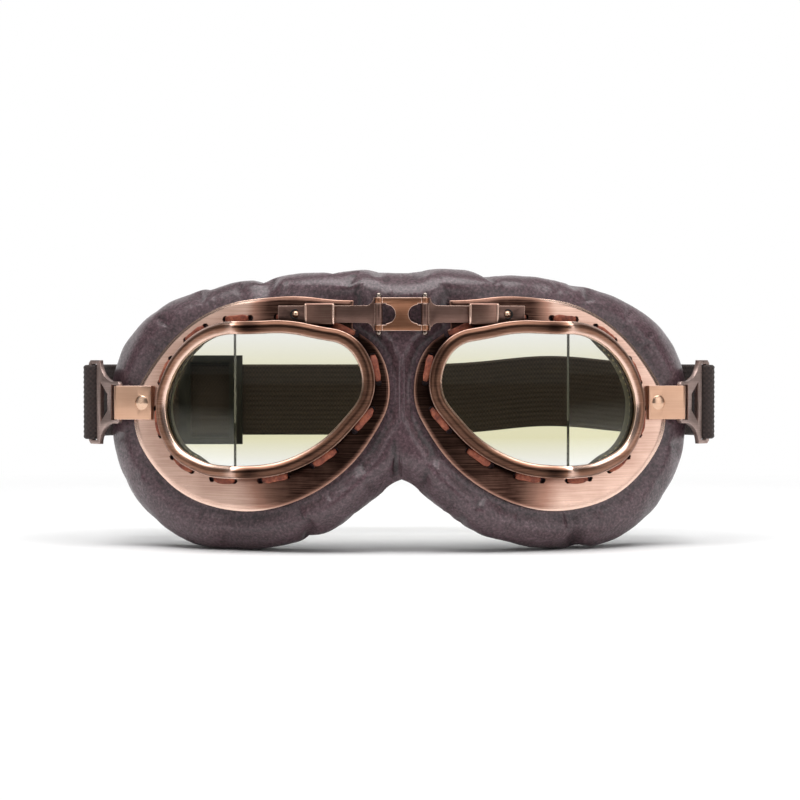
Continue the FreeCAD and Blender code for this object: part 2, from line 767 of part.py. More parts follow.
def strap_slider():
    # A rounded block with a passage for the band, a closed back and two bars in front
    clear = strap_thickness / 2 + slider_clearance
    half = slider_length / 2
    low = bracket_z - slider_height / 2
    front_y = strap_back_y - clear - slider_sheet
    shoulder_y = strap_back_y - clear
    rear_y = strap_back_y + clear + slider_sheet

    def at(along, y):
        return Vec(slider_x + along, y, low)
    outline = Part.Wire([
        line(at(-half, front_y), at(half, front_y)), line(at(half, front_y), at(half, shoulder_y)),
        arc(at(half, shoulder_y), at(0, rear_y), at(-half, shoulder_y)),
        line(at(-half, shoulder_y), at(-half, front_y))])
    block = Part.Face(outline).extrude(UP * slider_height)
    slot = slider_slot_height / 2
    passage = box_between(Vec(slider_x - 2 * half, shoulder_y, bracket_z - slot),
                          Vec(slider_x + 2 * half, strap_back_y + clear, bracket_z + slot))
    gap = half - slider_bar
    window = box_between(Vec(slider_x - gap, front_y - overrun, bracket_z - slot),
                         Vec(slider_x + gap, strap_back_y, bracket_z + slot))
    return block.cut(passage).cut(window).removeSplitter()


# Padded mask
def eye_spots():
    # Front-view places on the pad's eye opening, from the nose top round the temple to the nose bottom
    front = offset_chain(front_pane.nodes, pad_opening_offset)
    side = offset_chain(side_pane.nodes, pad_opening_offset)
    spots = [front_pane.place(p) for p, t in (front[4], front[3], front[2], front[0])]
    spots += [side_pane.place(p) for p, t in side[2:-1:2]]
    spots += [front_pane.place(p) for p, t in (front[12], front[10], front[8])]
    return [Vec(p.x, 0, p.z) for p in spots]


def pad_spots():
    return [Vec(u * pad_half_width, 0, v * pad_height) for u, v in pad_outline_shares]


def pad_corners(eye, rim, crown, inset):
    # One cut across the pad, a distance inside its skin: seat, crowned front roll, side, rear roll and back
    out = unit(rim - eye)
    width = (rim - eye).Length
    seat = cup_sheet + pad_seat_gap
    front = seat + inset
    rear = seat + pad_depth - inset
    edge = width - inset
    roll_back = (pad_roll - inset) * (1 - math.sqrt(0.5))

    def at(distance, depth):
        spot = eye + out * distance
        return Vec(spot.x, flange_y(spot.x, spot.z) + depth, spot.z)
    return {
        "opening_front": at(0, front),
        "inner_front": at(inset, front),
        "shoulder": at(width * pad_shoulder_share, front),
        "crest": at(width * pad_crest_share - inset * crest_inset_share, front - pad_crown * crown),
        "side_front": at(edge, seat + pad_roll),
        "side_rear": at(edge, seat + pad_depth - pad_roll),
        "rear_middle": at(edge - roll_back, rear - roll_back),
        "rear_edge": at(width - pad_roll, rear),
        "inner_rear": at(inset, rear),
        "opening_rear": at(0, rear),
    }


def cover_wire(skin, under):
    # Leather over the seat, the front roll and the side
    return Part.Wire([
        line(skin["opening_front"], skin["shoulder"]),
        arc(skin["shoulder"], skin["crest"], skin["side_front"]),
        line(skin["side_front"], skin["side_rear"]),
        line(skin["side_rear"], under["side_rear"]),
        line(under["side_rear"], under["side_front"]),
        arc(under["side_front"], under["crest"], under["shoulder"]),
        line(under["shoulder"], under["opening_front"]),
        line(under["opening_front"], skin["opening_front"])])


def lining_wire(skin, under):
    # Lining over the rear roll, the back and the inside of the eye opening
    return Part.Wire([
        arc(skin["side_rear"], skin["rear_middle"], skin["rear_edge"]),
        line(skin["rear_edge"], skin["opening_rear"]),
        line(skin["opening_rear"], under["opening_front"]),
        line(under["opening_front"], under["inner_front"]),
        line(under["inner_front"], under["inner_rear"]),
        line(under["inner_rear"], under["rear_edge"]),
        arc(under["rear_edge"], under["rear_middle"], under["side_rear"]),
        line(under["side_rear"], skin["side_rear"])])


def foam_wire(core):
    # Foam filling what the leather and the lining enclose
    return Part.Wire([
        line(core["inner_front"], core["shoulder"]),
        arc(core["shoulder"], core["crest"], core["side_front"]),
        line(core["side_front"], core["side_rear"]),
        arc(core["side_rear"], core["rear_middle"], core["rear_edge"]),
        line(core["rear_edge"], core["inner_rear"]),
        line(core["inner_rear"], core["inner_front"])])


def pad_loft(wire_of, *insets):
    # Sections round the eye, each drawn from the corners at one or two depths below the skin
    wires = []
    for eye, rim, crown in zip(eye_spots(), pad_spots(), pad_crown_shares):
        wires.append(wire_of(*[pad_corners(eye, rim, crown, inset) for inset in insets]))
    return Part.makeLoft(wires, True, False, False, loft_degree)


def pad_pieces():
    floor = box_between(Vec(-far, -far, -far), Vec(far, far, 0))
    core = leather_thickness + foam_gap
    cover = pad_loft(cover_wire, 0, leather_thickness)
    lining = pad_loft(lining_wire, 0, leather_thickness)
    foam = pad_loft(foam_wire, core)
    return cover.cut(floor), lining.cut(floor), foam.cut(floor)


def nose_leather():
    # The leather between the two pads, notched below and hollowed behind for the nose
    aside = Vec(-nose_gap, 0, 0)
    rim = [Vec(spot.x, spot.z, 0) for spot in pad_spots()]
    opening = []
    for p, t in offset_chain(front_pane.nodes, pad_opening_offset)[4:9]:
        spot = front_pane.place(p)
        opening.append((Vec(spot.x, spot.z, 0) + aside, Vec(-t.x, t.y, 0)))

    def place(point):
        return Vec(point.x, -far, point.y)

    def flipped(edges):
        return [mirrored(edge) for edge in edges]
    top = rim[0] + aside
    bottom = rim[-1] + aside
    side = [Part.LineSegment(place(top), place(opening[0][0])).toShape()]
    side += chain_edges(opening, place)
    side.append(Part.LineSegment(place(opening[-1][0]), place(bottom)).toShape())
    over_middle = Vec(0, -far, pad_height - nose_top_sag)
    under_middle = Vec(0, -far, nose_bottom_z)
    over = Part.Arc(place(top), over_middle, place(Vec(-top.x, top.y, 0))).toShape()
    under = Part.Arc(place(bottom), under_middle, place(Vec(-bottom.x, bottom.y, 0))).toShape()
    wire = Part.Wire(Part.sortEdges(side + flipped(side) + [over, under])[0])
    block = Part.Face(wire).extrude(BACK * (2 * far))
    front = cup_sheet + pad_seat_gap
    block = block.common(ahead_of_surface(front + pad_depth)).cut(ahead_of_surface(front))
    rear_y = flange_y(0, 0) + front + pad_depth
    axis = Vec(0, lean_slope, 1)
    start = Vec(0, rear_y - nose_channel_depth + nose_channel_radius, 0)
    narrow = nose_channel_radius * nose_top_share
    channel = Part.makeCone(nose_channel_radius, narrow, pad_height + overrun, start, axis)
    return block.cut(channel).removeSplitter()


def build():
    os.makedirs("parts", exist_ok=True)
    cover, lining, foam = pad_pieces()
    right = {
        "eyecup": eyecup(),
        "lens_rim": lens_rim(),
        "lens_gasket": lens_gasket(),
        "front_lens": lens_pane(front_pane, nose_half, mitre_nose),
        "side_lens": lens_pane(side_pane, temple_half, -mitre_nose),
        "lacing": lacing(),
        "bridge_bar": bridge_bar(),
        "bar_rivet": bar_rivet(),
        "bridge_clip": bridge_clip(),
        "hinge_pin": hinge_pin(),
        "strap_bracket": strap_bracket(),
        "bracket_rivet": bracket_rivet(),
        "buckle": buckle(),
        "leather_cover": cover,
        "face_lining": lining,
        "foam_core": foam,
    }
    nodes = {}
    for name, shape in right.items():
        nodes["right_" + name] = shape
        nodes["left_" + name] = mirrored(shape)
    nodes["bridge_link"] = bridge_link()
    nodes["nose_leather"] = nose_leather()
    nodes["strap"] = strap()
    nodes["strap_slider"] = strap_slider()
    # The middle of the whole depth comes to y = 0
    box = Part.makeCompound(list(nodes.values())).optimalBoundingBox(False, False)
    to_middle = BACK * (-(box.YMin + box.YMax) / 2)
    print("box", box, "moved", to_middle)
    for name, shape in nodes.items():
        shape.translate(to_middle)
        shape.exportStep("parts/" + name + ".step")
        print(name, len(shape.Solids), "solids", shape.isValid(), round(shape.Volume, 1))


build()
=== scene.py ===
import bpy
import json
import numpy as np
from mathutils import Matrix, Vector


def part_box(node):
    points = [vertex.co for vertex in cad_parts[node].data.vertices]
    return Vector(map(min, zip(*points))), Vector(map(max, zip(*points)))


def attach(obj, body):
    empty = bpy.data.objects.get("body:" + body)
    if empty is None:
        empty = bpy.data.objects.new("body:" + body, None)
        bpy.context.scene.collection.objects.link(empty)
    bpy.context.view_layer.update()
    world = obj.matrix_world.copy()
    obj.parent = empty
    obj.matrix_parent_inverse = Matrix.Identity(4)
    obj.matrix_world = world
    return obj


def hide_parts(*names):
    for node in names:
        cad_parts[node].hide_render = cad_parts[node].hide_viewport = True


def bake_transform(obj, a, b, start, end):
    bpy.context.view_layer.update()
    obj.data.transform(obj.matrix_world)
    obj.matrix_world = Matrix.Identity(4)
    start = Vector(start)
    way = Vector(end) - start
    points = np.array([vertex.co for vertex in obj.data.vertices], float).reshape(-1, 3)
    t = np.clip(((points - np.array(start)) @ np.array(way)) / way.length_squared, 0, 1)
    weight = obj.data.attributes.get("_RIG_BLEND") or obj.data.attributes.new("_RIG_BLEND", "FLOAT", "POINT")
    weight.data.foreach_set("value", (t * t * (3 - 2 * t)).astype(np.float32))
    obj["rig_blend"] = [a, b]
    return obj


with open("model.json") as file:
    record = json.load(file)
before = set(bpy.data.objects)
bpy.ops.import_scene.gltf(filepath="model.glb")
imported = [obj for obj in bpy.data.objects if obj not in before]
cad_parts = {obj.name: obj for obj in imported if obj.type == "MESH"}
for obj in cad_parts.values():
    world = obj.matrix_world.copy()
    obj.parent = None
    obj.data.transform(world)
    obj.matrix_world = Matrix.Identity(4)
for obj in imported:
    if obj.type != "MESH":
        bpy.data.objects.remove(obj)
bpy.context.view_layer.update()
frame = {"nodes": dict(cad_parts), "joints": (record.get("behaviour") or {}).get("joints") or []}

import json
import bpy
import bmesh
import numpy as np
from mathutils import Vector

# Goggles dressed over their solids. Numbers are millimetres, x to the viewer's right, y to the back, z up.
# The hinge pins stand at y = 0 here; toFrame moves a shape to its place in the frame, in metres.
mm = 0.001
pinPlace = [joint["pos_m"] for joint in frame["joints"] if joint["name"] == "right_fold"][0]
sides = {"left": -1, "right": 1}
scene = bpy.context.scene


def toFrame(points, side=1):
    placed = np.array(points, float) * mm
    placed[..., 0] *= side
    placed[..., 1] += pinPlace[1]
    return placed


def fromFrame(points):
    local = np.array(points, float)
    local[..., 1] -= pinPlace[1]
    return local / mm


def spot(x, y, z, side=1):
    return tuple(toFrame([x, y, z], side))


def unit(vectors):
    return vectors / np.linalg.norm(vectors, axis=-1, keepdims=True)


def roundAngles(count):
    # even angles once round
    return np.linspace(0, 2 * np.pi, count, endpoint=False)


def ease(value):
    # smooth step from 0 to 1 with level ends
    value = np.clip(value, 0, 1)
    return value * value * (3 - 2 * value)


def ridge(value, width):
    # bell curve of height 1
    return np.exp(-(value / width) ** 2)


def gone(path):
    # distance gone along a path at each of its points
    return np.concatenate([[0], np.cumsum(np.linalg.norm(np.diff(path, axis=0), axis=1))])


def softened(profile, rounds):
    # corner cutting on a closed profile: each side is replaced by its quarter points
    for _ in range(rounds):
        following = np.roll(profile, -1, 0)
        pair = np.stack([0.75 * profile + 0.25 * following, 0.25 * profile + 0.75 * following], 1)
        profile = pair.reshape(-1, profile.shape[1])
    return profile


def ripple(points, wave, seed, waves=6):
    # soft uneven waviness: the mean of some plane waves with seeded directions and phases, doubled
    draw = np.random.default_rng(seed)
    directions = unit(draw.normal(size=(waves, points.shape[-1])))
    stretch = draw.uniform(0.7, 1.5, waves)
    phase = draw.uniform(0, 2 * np.pi, waves)
    turns = points @ directions.T * (2 * np.pi / wave) * stretch + phase
    return np.sin(turns).mean(-1) * 2


# Meshes

def gridQuads(rows, columns, closeRows, closeColumns):
    # four-sided faces of a grid of points, wrapped where it closes on itself
    a = np.arange(rows if closeRows else rows - 1)[:, None]
    b = np.arange(columns if closeColumns else columns - 1)[None, :]
    nextA = (a + 1) % rows
    nextB = (b + 1) % columns
    corners = [a * columns + b, a * columns + nextB, nextA * columns + nextB, nextA * columns + b]
    return np.stack(np.broadcast_arrays(*corners), -1).reshape(-1, 4)


def tubeCaps(rows, columns):
    # both open ends of a tube filled by faces between opposite points of the end ring
    a = np.arange(columns // 2 - 1)
    first = np.stack([a, a + 1, columns - 2 - a, columns - 1 - a], -1)
    last = first[:, ::-1] + (rows - 1) * columns
    return np.concatenate([first, last])


def makeSheet(name, points, quads, values=None, sharpDegrees=60):
    # mesh object from points in metres and four-sided faces that already point outwards
    mesh = bpy.data.meshes.new(name)
    mesh.from_pydata(points.tolist(), [], quads.tolist())
    for key, value in (values or {}).items():
        layer = mesh.attributes.new(key, "FLOAT", "POINT")
        layer.data.foreach_set("value", np.ascontiguousarray(value, np.float32).ravel())
    mesh.update()
    mesh.shade_smooth()
    mesh.set_sharp_from_angle(angle=np.radians(sharpDegrees))
    piece = bpy.data.objects.new(name, mesh)
    scene.collection.objects.link(piece)
    return piece


def makePiece(name, points, quads, values=None):
    # the same for a closed shape: faces are turned outwards by the sign of the enclosed volume
    corners = points[quads]
    doubled = np.cross(corners[:, 2] - corners[:, 0], corners[:, 3] - corners[:, 1])
    if np.einsum("ij,ij->", doubled, corners.mean(1) - points.mean(0)) < 0:
        quads = quads[:, ::-1]
    piece = makeSheet(name, points, quads, values, 50)
    piece.data.validate()
    return piece


def makeRing(name, grid, side=1, values=None):
    # a piece from a grid that closes on itself both ways
    quads = gridQuads(*grid.shape[:2], True, True)
    return makePiece(name, toFrame(grid, side).reshape(-1, 3), quads, values)


def makeTubes(name, grids, side=1, values=None):
    # a piece of one or more tubes with filled ends, each a grid of rings
    count, rows, columns = grids.shape[:3]
    quads = np.concatenate([gridQuads(rows, columns, False, True), tubeCaps(rows, columns)])
    quads = (quads[None] + (np.arange(count) * rows * columns)[:, None, None]).reshape(-1, 4)
    return makePiece(name, toFrame(grids, side).reshape(-1, 3), quads, values)


def settle(piece, sharpDegrees):
    # modifiers become part of the mesh, and edges over an angle stay sharp
    depsgraph = bpy.context.evaluated_depsgraph_get()
    mesh = bpy.data.meshes.new_from_object(piece.evaluated_get(depsgraph))
    piece.modifiers.clear()
    old = piece.data
    piece.data = mesh
    bpy.data.meshes.remove(old)
    mesh.name = piece.name
    mesh.shade_smooth()
    mesh.set_sharp_from_angle(angle=np.radians(sharpDegrees))


wornEdges = {"merge": 0.002, "flatDegrees": 0.6, "sharpDegrees": 50, "segments": 2}


def solidCopy(node, name, bevel, finishes):
    # a CAD node's triangles merged into clean faces, with its sharp edges worn round and rubbed bare
    mesh = frame["nodes"][node].data.copy()
    mesh.name = name
    mesh.materials.clear()
    for key in finishes:
        mesh.materials.append(finish[key])
    work = bmesh.new()
    work.from_mesh(mesh)
    bmesh.ops.remove_doubles(work, verts=work.verts, dist=wornEdges["merge"] * mm)
    level = np.radians(wornEdges["flatDegrees"])
    bmesh.ops.dissolve_limit(work, angle_limit=level, verts=work.verts, edges=work.edges)
    work.to_mesh(mesh)
    work.free()
    for layer in list(mesh.attributes):
        if layer.domain == "CORNER" and not layer.is_internal and not layer.is_required:
            mesh.attributes.remove(layer)
    piece = bpy.data.objects.new(name, mesh)
    scene.collection.objects.link(piece)
    edge = piece.modifiers.new("worn edges", "BEVEL")
    edge.width = bevel * mm
    edge.segments = wornEdges["segments"]
    edge.limit_method = "ANGLE"
    edge.angle_limit = np.radians(wornEdges["sharpDegrees"])
    edge.use_clamp_overlap = True
    edge.material = len(finishes) - 1
    settle(piece, wornEdges["sharpDegrees"])
    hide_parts(node)
    return piece


# Materials

def linear(hexColour):
    # sRGB hex value to linear colour
    channels = np.array([int(hexColour[i:i + 2], 16) for i in (1, 3, 5)]) / 255
    low = channels / 12.92
    high = ((channels + 0.055) / 1.055) ** 2.4
    return (*np.where(channels <= 0.04045, low, high), 1.0)


def add(tree, kind, inputs=None, stops=None, **settings):
    # one node with its settings, its values and links, and a ramp's stops
    node = tree.nodes.new("ShaderNode" + kind)
    for key, value in settings.items():
        setattr(node, key, value)
    for key, value in (inputs or {}).items():
        if isinstance(value, bpy.types.NodeSocket):
            tree.links.new(value, node.inputs[key])
        else:
            node.inputs[key].default_value = value
    if stops:
        ramp = node.color_ramp
        while len(ramp.elements) < len(stops):
            ramp.elements.new(1.0)
        for element, (place, colour) in zip(ramp.elements, stops):
            element.position = place
            element.color = colour
    return node


def newMaterial(name, fixed):
    material = bpy.data.materials.new(name)
    material.use_nodes = True
    tree = material.node_tree
    shader = tree.nodes["Principled BSDF"]
    for key, value in fixed.items():
        shader.inputs[key].default_value = value
    return material, tree, shader


def objectPlace(tree):
    return add(tree, "TexCoord").outputs["Object"]


def attribute(tree, name):
    return add(tree, "Attribute", attribute_name=name).outputs["Fac"]


def noise(tree, size, detail, roughness=0.5, place=None):
    # cloudy noise with features of about a size in millimetres
    inputs = {"Vector": place or objectPlace(tree), "Scale": 1 / (size * mm), "Detail": detail}
    return add(tree, "TexNoise", {**inputs, "Roughness": roughness}).outputs["Fac"]


def spread(tree, value, low, high, start=0.3, end=0.7, **settings):
    # the part of a value between start and end, stretched to run from low to high
    inputs = {"Value": value, "From Min": start, "From Max": end, "To Min": low, "To Max": high}
    return add(tree, "MapRange", inputs, **settings).outputs[0]


def combine(tree, operation, one, other=0.0, **settings):
    return add(tree, "Math", {0: one, 1: other}, operation=operation, **settings).outputs[0]


def tinted(tree, value, *stops):
    # a colour ramp with its places and hex colours
    return add(tree, "ValToRGB", {"Fac": value}, [(at, linear(colour)) for at, colour in stops]).outputs[0]


def joinUp(tree, shader, colour, gloss=None, bump=None):
    # colour, roughness and bump linked to the shader; a bump is its height, strength and depth in millimetres
    tree.links.new(colour, shader.inputs["Base Color"])
    if gloss:
        tree.links.new(gloss, shader.inputs["Roughness"])
    if bump:
        height, strength, depth = bump
        raised = add(tree, "Bump", {"Height": height, "Strength": strength, "Distance": depth * mm})
        tree.links.new(raised.outputs[0], shader.inputs["Normal"])


def mixOut(tree, share, one, other):
    # the surface as a mix of two shaders
    both = add(tree, "MixShader", {0: share, 1: one.outputs[0], 2: other.outputs[0]})
    tree.links.new(both.outputs[0], tree.nodes["Material Output"].inputs["Surface"])


def brushedCopper(name, bright, warm, dark, roughness, bareShare, cloudShare, streak):
    # copper plating brushed in one direction, darkened and rubbed back: fine straight streaks, brown-black
    # patina in the corners, pink metal where hands and cloth rub it bare
    material, tree, shader = newMaterial(name, {"Metallic": 1.0, "Anisotropic": 0.3})
    drawn = add(tree, "Mapping", {"Vector": objectPlace(tree), "Scale": (60, 60, 1 / (streak * mm))})
    streaks = noise(tree, 1 / mm, 4.0, 0.6, drawn.outputs[0])
    patch = spread(tree, noise(tree, 9, 4.0, 0.55), bareShare - cloudShare, bareShare + cloudShare)
    # the attribute holds wear and painted light: paler temples, a painted crease highlight and shade beside
    # it
    level = combine(tree, "ADD", patch, attribute(tree, "worn"))
    level = combine(tree, "ADD", level, spread(tree, streaks, -0.1, 0.1), use_clamp=True)
    colour = tinted(tree, level, (0.0, dark), (0.5, warm), (1.0, bright))
    joinUp(tree, shader, colour, spread(tree, level, roughness + 0.1, roughness, 0, 1), (streaks, 0.2, 0.02))
    return material


def grained(name, fixed, size, detail, stops, gloss=None, bump=None):
    # one noise drives the colour, and the gloss and bump where they are given
    material, tree, shader = newMaterial(name, fixed)
    grain = noise(tree, size, detail)
    shine = spread(tree, grain, *gloss, 0, 1) if gloss else None
    joinUp(tree, shader, tinted(tree, grain, *stops), shine, (grain, *bump) if bump else None)
    return material


def softLeather():
    # soft chrome-tanned leather with a fine grain: dark pores in a paler purple-brown skin, a low waxy sheen,
    # and painted shade darkening its folds and hollows
    fixed = {"Specular IOR Level": 0.45, "Coat Weight": 0.35, "Coat Roughness": 0.22}
    material, tree, shader = newMaterial("Fine grained soft leather", fixed)
    pores = noise(tree, 0.9, 3.0, 0.65)
    cells = {"Vector": objectPlace(tree), "Scale": 1 / (0.9 * mm)}
    pebble = add(tree, "TexVoronoi", cells, feature="SMOOTH_F1")
    blotch = spread(tree, noise(tree, 16, 4.0, 0.55), 0.42, 0.62)
    tone = combine(tree, "ADD", blotch, spread(tree, pores, -0.42, 0.3))
    # painted shade in creases and hollows
    tone = combine(tree, "SUBTRACT", tone, combine(tree, "MULTIPLY", attribute(tree, "crease"), 0.5))
    colour = tinted(tree, tone, (0.0, "#1f1315"), (0.4, "#463237"), (0.7, "#5d464c"), (1.0, "#7c656d"))
    height = combine(tree, "SUBTRACT", pores, pebble.outputs["Distance"])
    joinUp(tree, shader, colour, spread(tree, pores, 0.5, 0.34), (height, 0.5, 0.15))
    return material


def laceLeather():
    # narrow strip cut from vegetable-tanned hide: rust brown, fibrous cut edges, rubbed dull
    material, tree, shader = newMaterial("Cut rust leather lace", {"Roughness": 0.68})
    fibre = noise(tree, 0.9, 6.0, 0.7)
    tone = combine(tree, "MULTIPLY", fibre, noise(tree, 3, 3.0))
    colour = tinted(tree, tone, (0.08, "#47211a"), (0.24, "#8a4632"), (0.42, "#b56a4c"))
    joinUp(tree, shader, colour, bump=(fibre, 0.7, 0.2))
    return material


def elasticWebbing():
    # woven elastic: lengthwise cords are modelled, the fine crosswise picks are drawn here at 1.2 mm,
    # about three times their real spacing so that they show
    material, tree, shader = newMaterial("Woven brown elastic", {"Roughness": 0.82, "Sheen Weight": 0.12})
    weft = combine(tree, "MULTIPLY", attribute(tree, "travel"), 2 * np.pi / 1.2)
    shift = combine(tree, "MULTIPLY", combine(tree, "FLOOR", attribute(tree, "across")), np.pi)
    picks = combine(tree, "SINE", combine(tree, "ADD", weft, shift))
    tone = combine(tree, "MULTIPLY", spread(tree, picks, 0, 1, -1, 1), noise(tree, 0.6, 4.0))
    colour = tinted(tree, tone, (0.0, "#211614"), (0.3, "#2c1f1c"), (0.62, "#3a2b27"))
    joinUp(tree, shader, colour, bump=(tone, 0.6, 0.15))
    return material


def clearPane():
    # tempered clear glass with a faint yellow-green cast; shadow rays pass so that the inside stays lit
    fixed = {"Roughness": 0.0, "IOR": 1.5, "Transmission Weight": 1.0}
    material, tree, shader = newMaterial("Clear pane glass", fixed)
    height = add(tree, "SeparateXYZ", {0: objectPlace(tree)}).outputs["Z"]
    level = spread(tree, height, 0, 1, 28 * mm, 70 * mm)
    tint = tinted(tree, level, (0.0, "#f8f8f4"), (0.22, "#e6e2bd"), (0.75, "#e9e6c8"), (1.0, "#f3f3ec"))
    joinUp(tree, shader, tint)
    through = add(tree, "BsdfTransparent", {"Color": linear("#f7f8ea")})
    mixOut(tree, add(tree, "LightPath").outputs["Is Shadow Ray"], shader, through)
    return material


def mouldedBlack(name, light, dark, roughness, grain):
    # moulded black plastic or rubber: even colour, fine moulded texture, dusty bloom in the hollows
    material, tree, shader = newMaterial(name, {})
    dust = noise(tree, 6, 4.0)
    gloss = spread(tree, dust, roughness, roughness + 0.15, 0, 1)
    colour = tinted(tree, dust, (0.35, dark), (0.75, light))
    joinUp(tree, shader, colour, gloss, (noise(tree, grain, 3.0), 0.25, 0.05))
    return material


# name, bare, warm and patina colour, roughness, share that is bare, its cloudiness, spacing of the streaks
coppers = {
    "cup": ("Brushed antique copper cup", "#eccbba", "#a07868", "#2a1a15", 0.26, 0.0, 0.05, 0.25),
    "rim": ("Rolled dark copper rim", "#ecc9b8", "#86614f", "#2a1b16", 0.26, 0.14, 0.05, 0.22),
    "bar": ("Stamped dark copper bar", "#b89a8e", "#7d6259", "#3a2b27", 0.33, 0.4, 0.08, 0.2),
    "clip": ("Folded dark copper clip", "#c8a596", "#8a6a5e", "#3f2d27", 0.28, 0.5, 0.1, 0.2),
    "link": ("Stamped light copper link", "#c99a7e", "#9c6d54", "#5e3d2e", 0.36, 0.5, 0.08, 0.2),
    "bracket": ("Folded light copper bracket", "#e0b99f", "#c99f85", "#7d5a48", 0.32, 0.6, 0.08, 0.2),
    "buckle": ("Die-cast copper buckle", "#d6beb5", "#a8938c", "#5c4a45", 0.36, 0.5, 0.1, 0.3),
    "rivet": ("Domed copper rivet", "#efd3bb", "#d3ab90", "#84614e", 0.24, 0.65, 0.08, 0.2),
    "edge": ("Rubbed bare copper edge", "#f6dccd", "#dcb7a5", "#a98270", 0.24, 0.6, 0.1, 0.2),
}
finish = {key: brushedCopper(*values) for key, values in coppers.items()}
finish.update({
    # drawn steel wire, bright and a little scratched
    "pin": grained("Drawn steel pin", {"Metallic": 1.0}, 0.8, 3.0,
                   [(0.3, "#6a5d56"), (0.7, "#a99c93")], (0.18, 0.34)),
    "gasket": mouldedBlack("Moulded black rubber gasket", "#1c1c1c", "#0a0a0a", 0.5, 0.3),
    "slider": mouldedBlack("Moulded black plastic slider", "#191818", "#0d0c0c", 0.4, 0.8),
    # near-black painted shade for the walls of the punched holes and the ring round the stop rivet
    "hole": mouldedBlack("Bare punched hole wall", "#15100e", "#080605", 0.7, 0.3),
    "glass": clearPane(),
    "lace": laceLeather(),
    "leather": softLeather(),
    # short black velour: matt, with a soft pale bloom at grazing angles and a brushed nap
    "lining": grained("Black velour lining", {"Roughness": 0.9, "Sheen Weight": 0.35, "Sheen Roughness": 0.5},
                      0.5, 4.0, [(0.3, "#0e0e10"), (0.7, "#222124")], bump=(0.5, 0.2)),
    "strap": elasticWebbing(),
    # twisted polyester sewing thread in pale gold
    "thread": grained("Twisted gold thread", {"Roughness": 0.55}, 0.3, 2.0,
                      [(0.3, "#c4b48a"), (0.7, "#fbf1d6")]),
})
print("materials", len(finish))


def dress(piece, material, body=None, node=None):
    # material None keeps what the piece has; the node is the one that it stands for
    if material:
        piece.data.materials.clear()
        piece.data.materials.append(finish[material])
    if node:
        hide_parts(node)
    if body:
        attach(piece, body)


# The eye outline that rims, cups, laces and pads follow

eye = {
    "openingHeight": 42.3, "openingBottom": 28.2, "creaseX": 53.9608,
    "frontLength": 41.2, "sideLength": 27.6, "frontTurn": 2.5, "sideTurn": 35.0,
    "middle": np.array([47.0, 48.0]), "samplesPerArc": 14, "creaseRound": 0.35,
    "frontShares": [(0, 1), (0.55, 0.985), (0.93, 0.845), (1, 0.63), (0.80, 0.30), (0.42, 0.055), (0, 0)],
    "sideShares": [(0, 1), (0.5, 0.915), (0.88, 0.68), (1, 0.45), (0.86, 0.175), (0.45, 0.03), (0, 0)],
}


def biarcPath(points, start, end, perArc):
    # pairs of tangent arcs through the points; a place on an arc is its start plus a chord that turns by
    # half of the angle gone through
    points = np.array(points, float)
    before = points[1:-1] - points[:-2]
    after = points[2:] - points[1:-1]
    ratio = np.linalg.norm(after, axis=1, keepdims=True) / np.linalg.norm(before, axis=1, keepdims=True)
    directions = np.vstack([start, unit(before * ratio + after / ratio), end])
    p, q, t, s = points[:-1], points[1:], directions[:-1], directions[1:]
    span = q - p
    bend = np.maximum(2 * (1 - (t * s).sum(1)), 1e-9)
    drift = (span * (t + s)).sum(1)
    reach = (np.sqrt(drift ** 2 + bend * (span ** 2).sum(1)) - drift) / bend
    first = p + t * reach[:, None]
    second = q - s * reach[:, None]
    starts = np.stack([p, (first + second) / 2], 1).reshape(-1, 2)
    headings = np.stack([t, unit(second - first)], 1).reshape(-1, 2)
    ends = np.vstack([starts[1:], points[-1:]])
    chord = ends - starts
    length = np.linalg.norm(chord, axis=1)
    heading = np.arctan2(headings[:, 1], headings[:, 0])
    half = (np.arctan2(chord[:, 1], chord[:, 0]) - heading + np.pi) % (2 * np.pi) - np.pi
    share = np.arange(perArc) / perArc
    angle = half[:, None] * share
    curved = np.sin(angle) / np.sin(np.where(half == 0, 1, half))[:, None]
    reachAlong = length[:, None] * np.where(np.abs(half[:, None]) < 1e-6, share, curved)
    toward = heading[:, None] + angle
    path = starts[:, None] + reachAlong[..., None] * np.stack([np.cos(toward), np.sin(toward)], -1)
    turn = heading[:, None] + 2 * angle
    tangent = np.stack([np.cos(turn), np.sin(turn)], -1)
    path = np.vstack([path.reshape(-1, 2), points[-1:]])
    tangent = np.vstack([tangent.reshape(-1, 2), np.array([end], float)])
    return path, tangent


def makePane(shares, length, turnDegrees, toward):
    # one pane's outline in its own plane with outward normals, and the plane's directions along and back
    points = [(u * length, eye["openingBottom"] + v * eye["openingHeight"]) for u, v in shares]
    path, tangent = biarcPath(points, (1, 0), (-1, 0), eye["samplesPerArc"])
    near = np.array([eye["creaseRound"], 0])
    path = np.vstack([path[:1], path[:1] + near, path[1:-1], path[-1:] + near, path[-1:]])
    tangent = np.vstack([tangent[:1], tangent[:1], tangent[1:-1], tangent[-1:], tangent[-1:]])
    angle = np.radians(turnDegrees)
    return {"path": path, "normal": np.stack([-tangent[:, 1], tangent[:, 0]], 1),
            "along": np.array([np.cos(angle), np.sin(angle), 0]) * toward,
            "back": np.array([-np.sin(angle), np.cos(angle), 0])}


frontPane = makePane(eye["frontShares"], eye["frontLength"], eye["frontTurn"], -1)
sidePane = makePane(eye["sideShares"], eye["sideLength"], eye["sideTurn"], 1)
mitreBack = unit(frontPane["back"] + sidePane["back"])
mitreNormal = np.array([-mitreBack[1], mitreBack[0], 0])


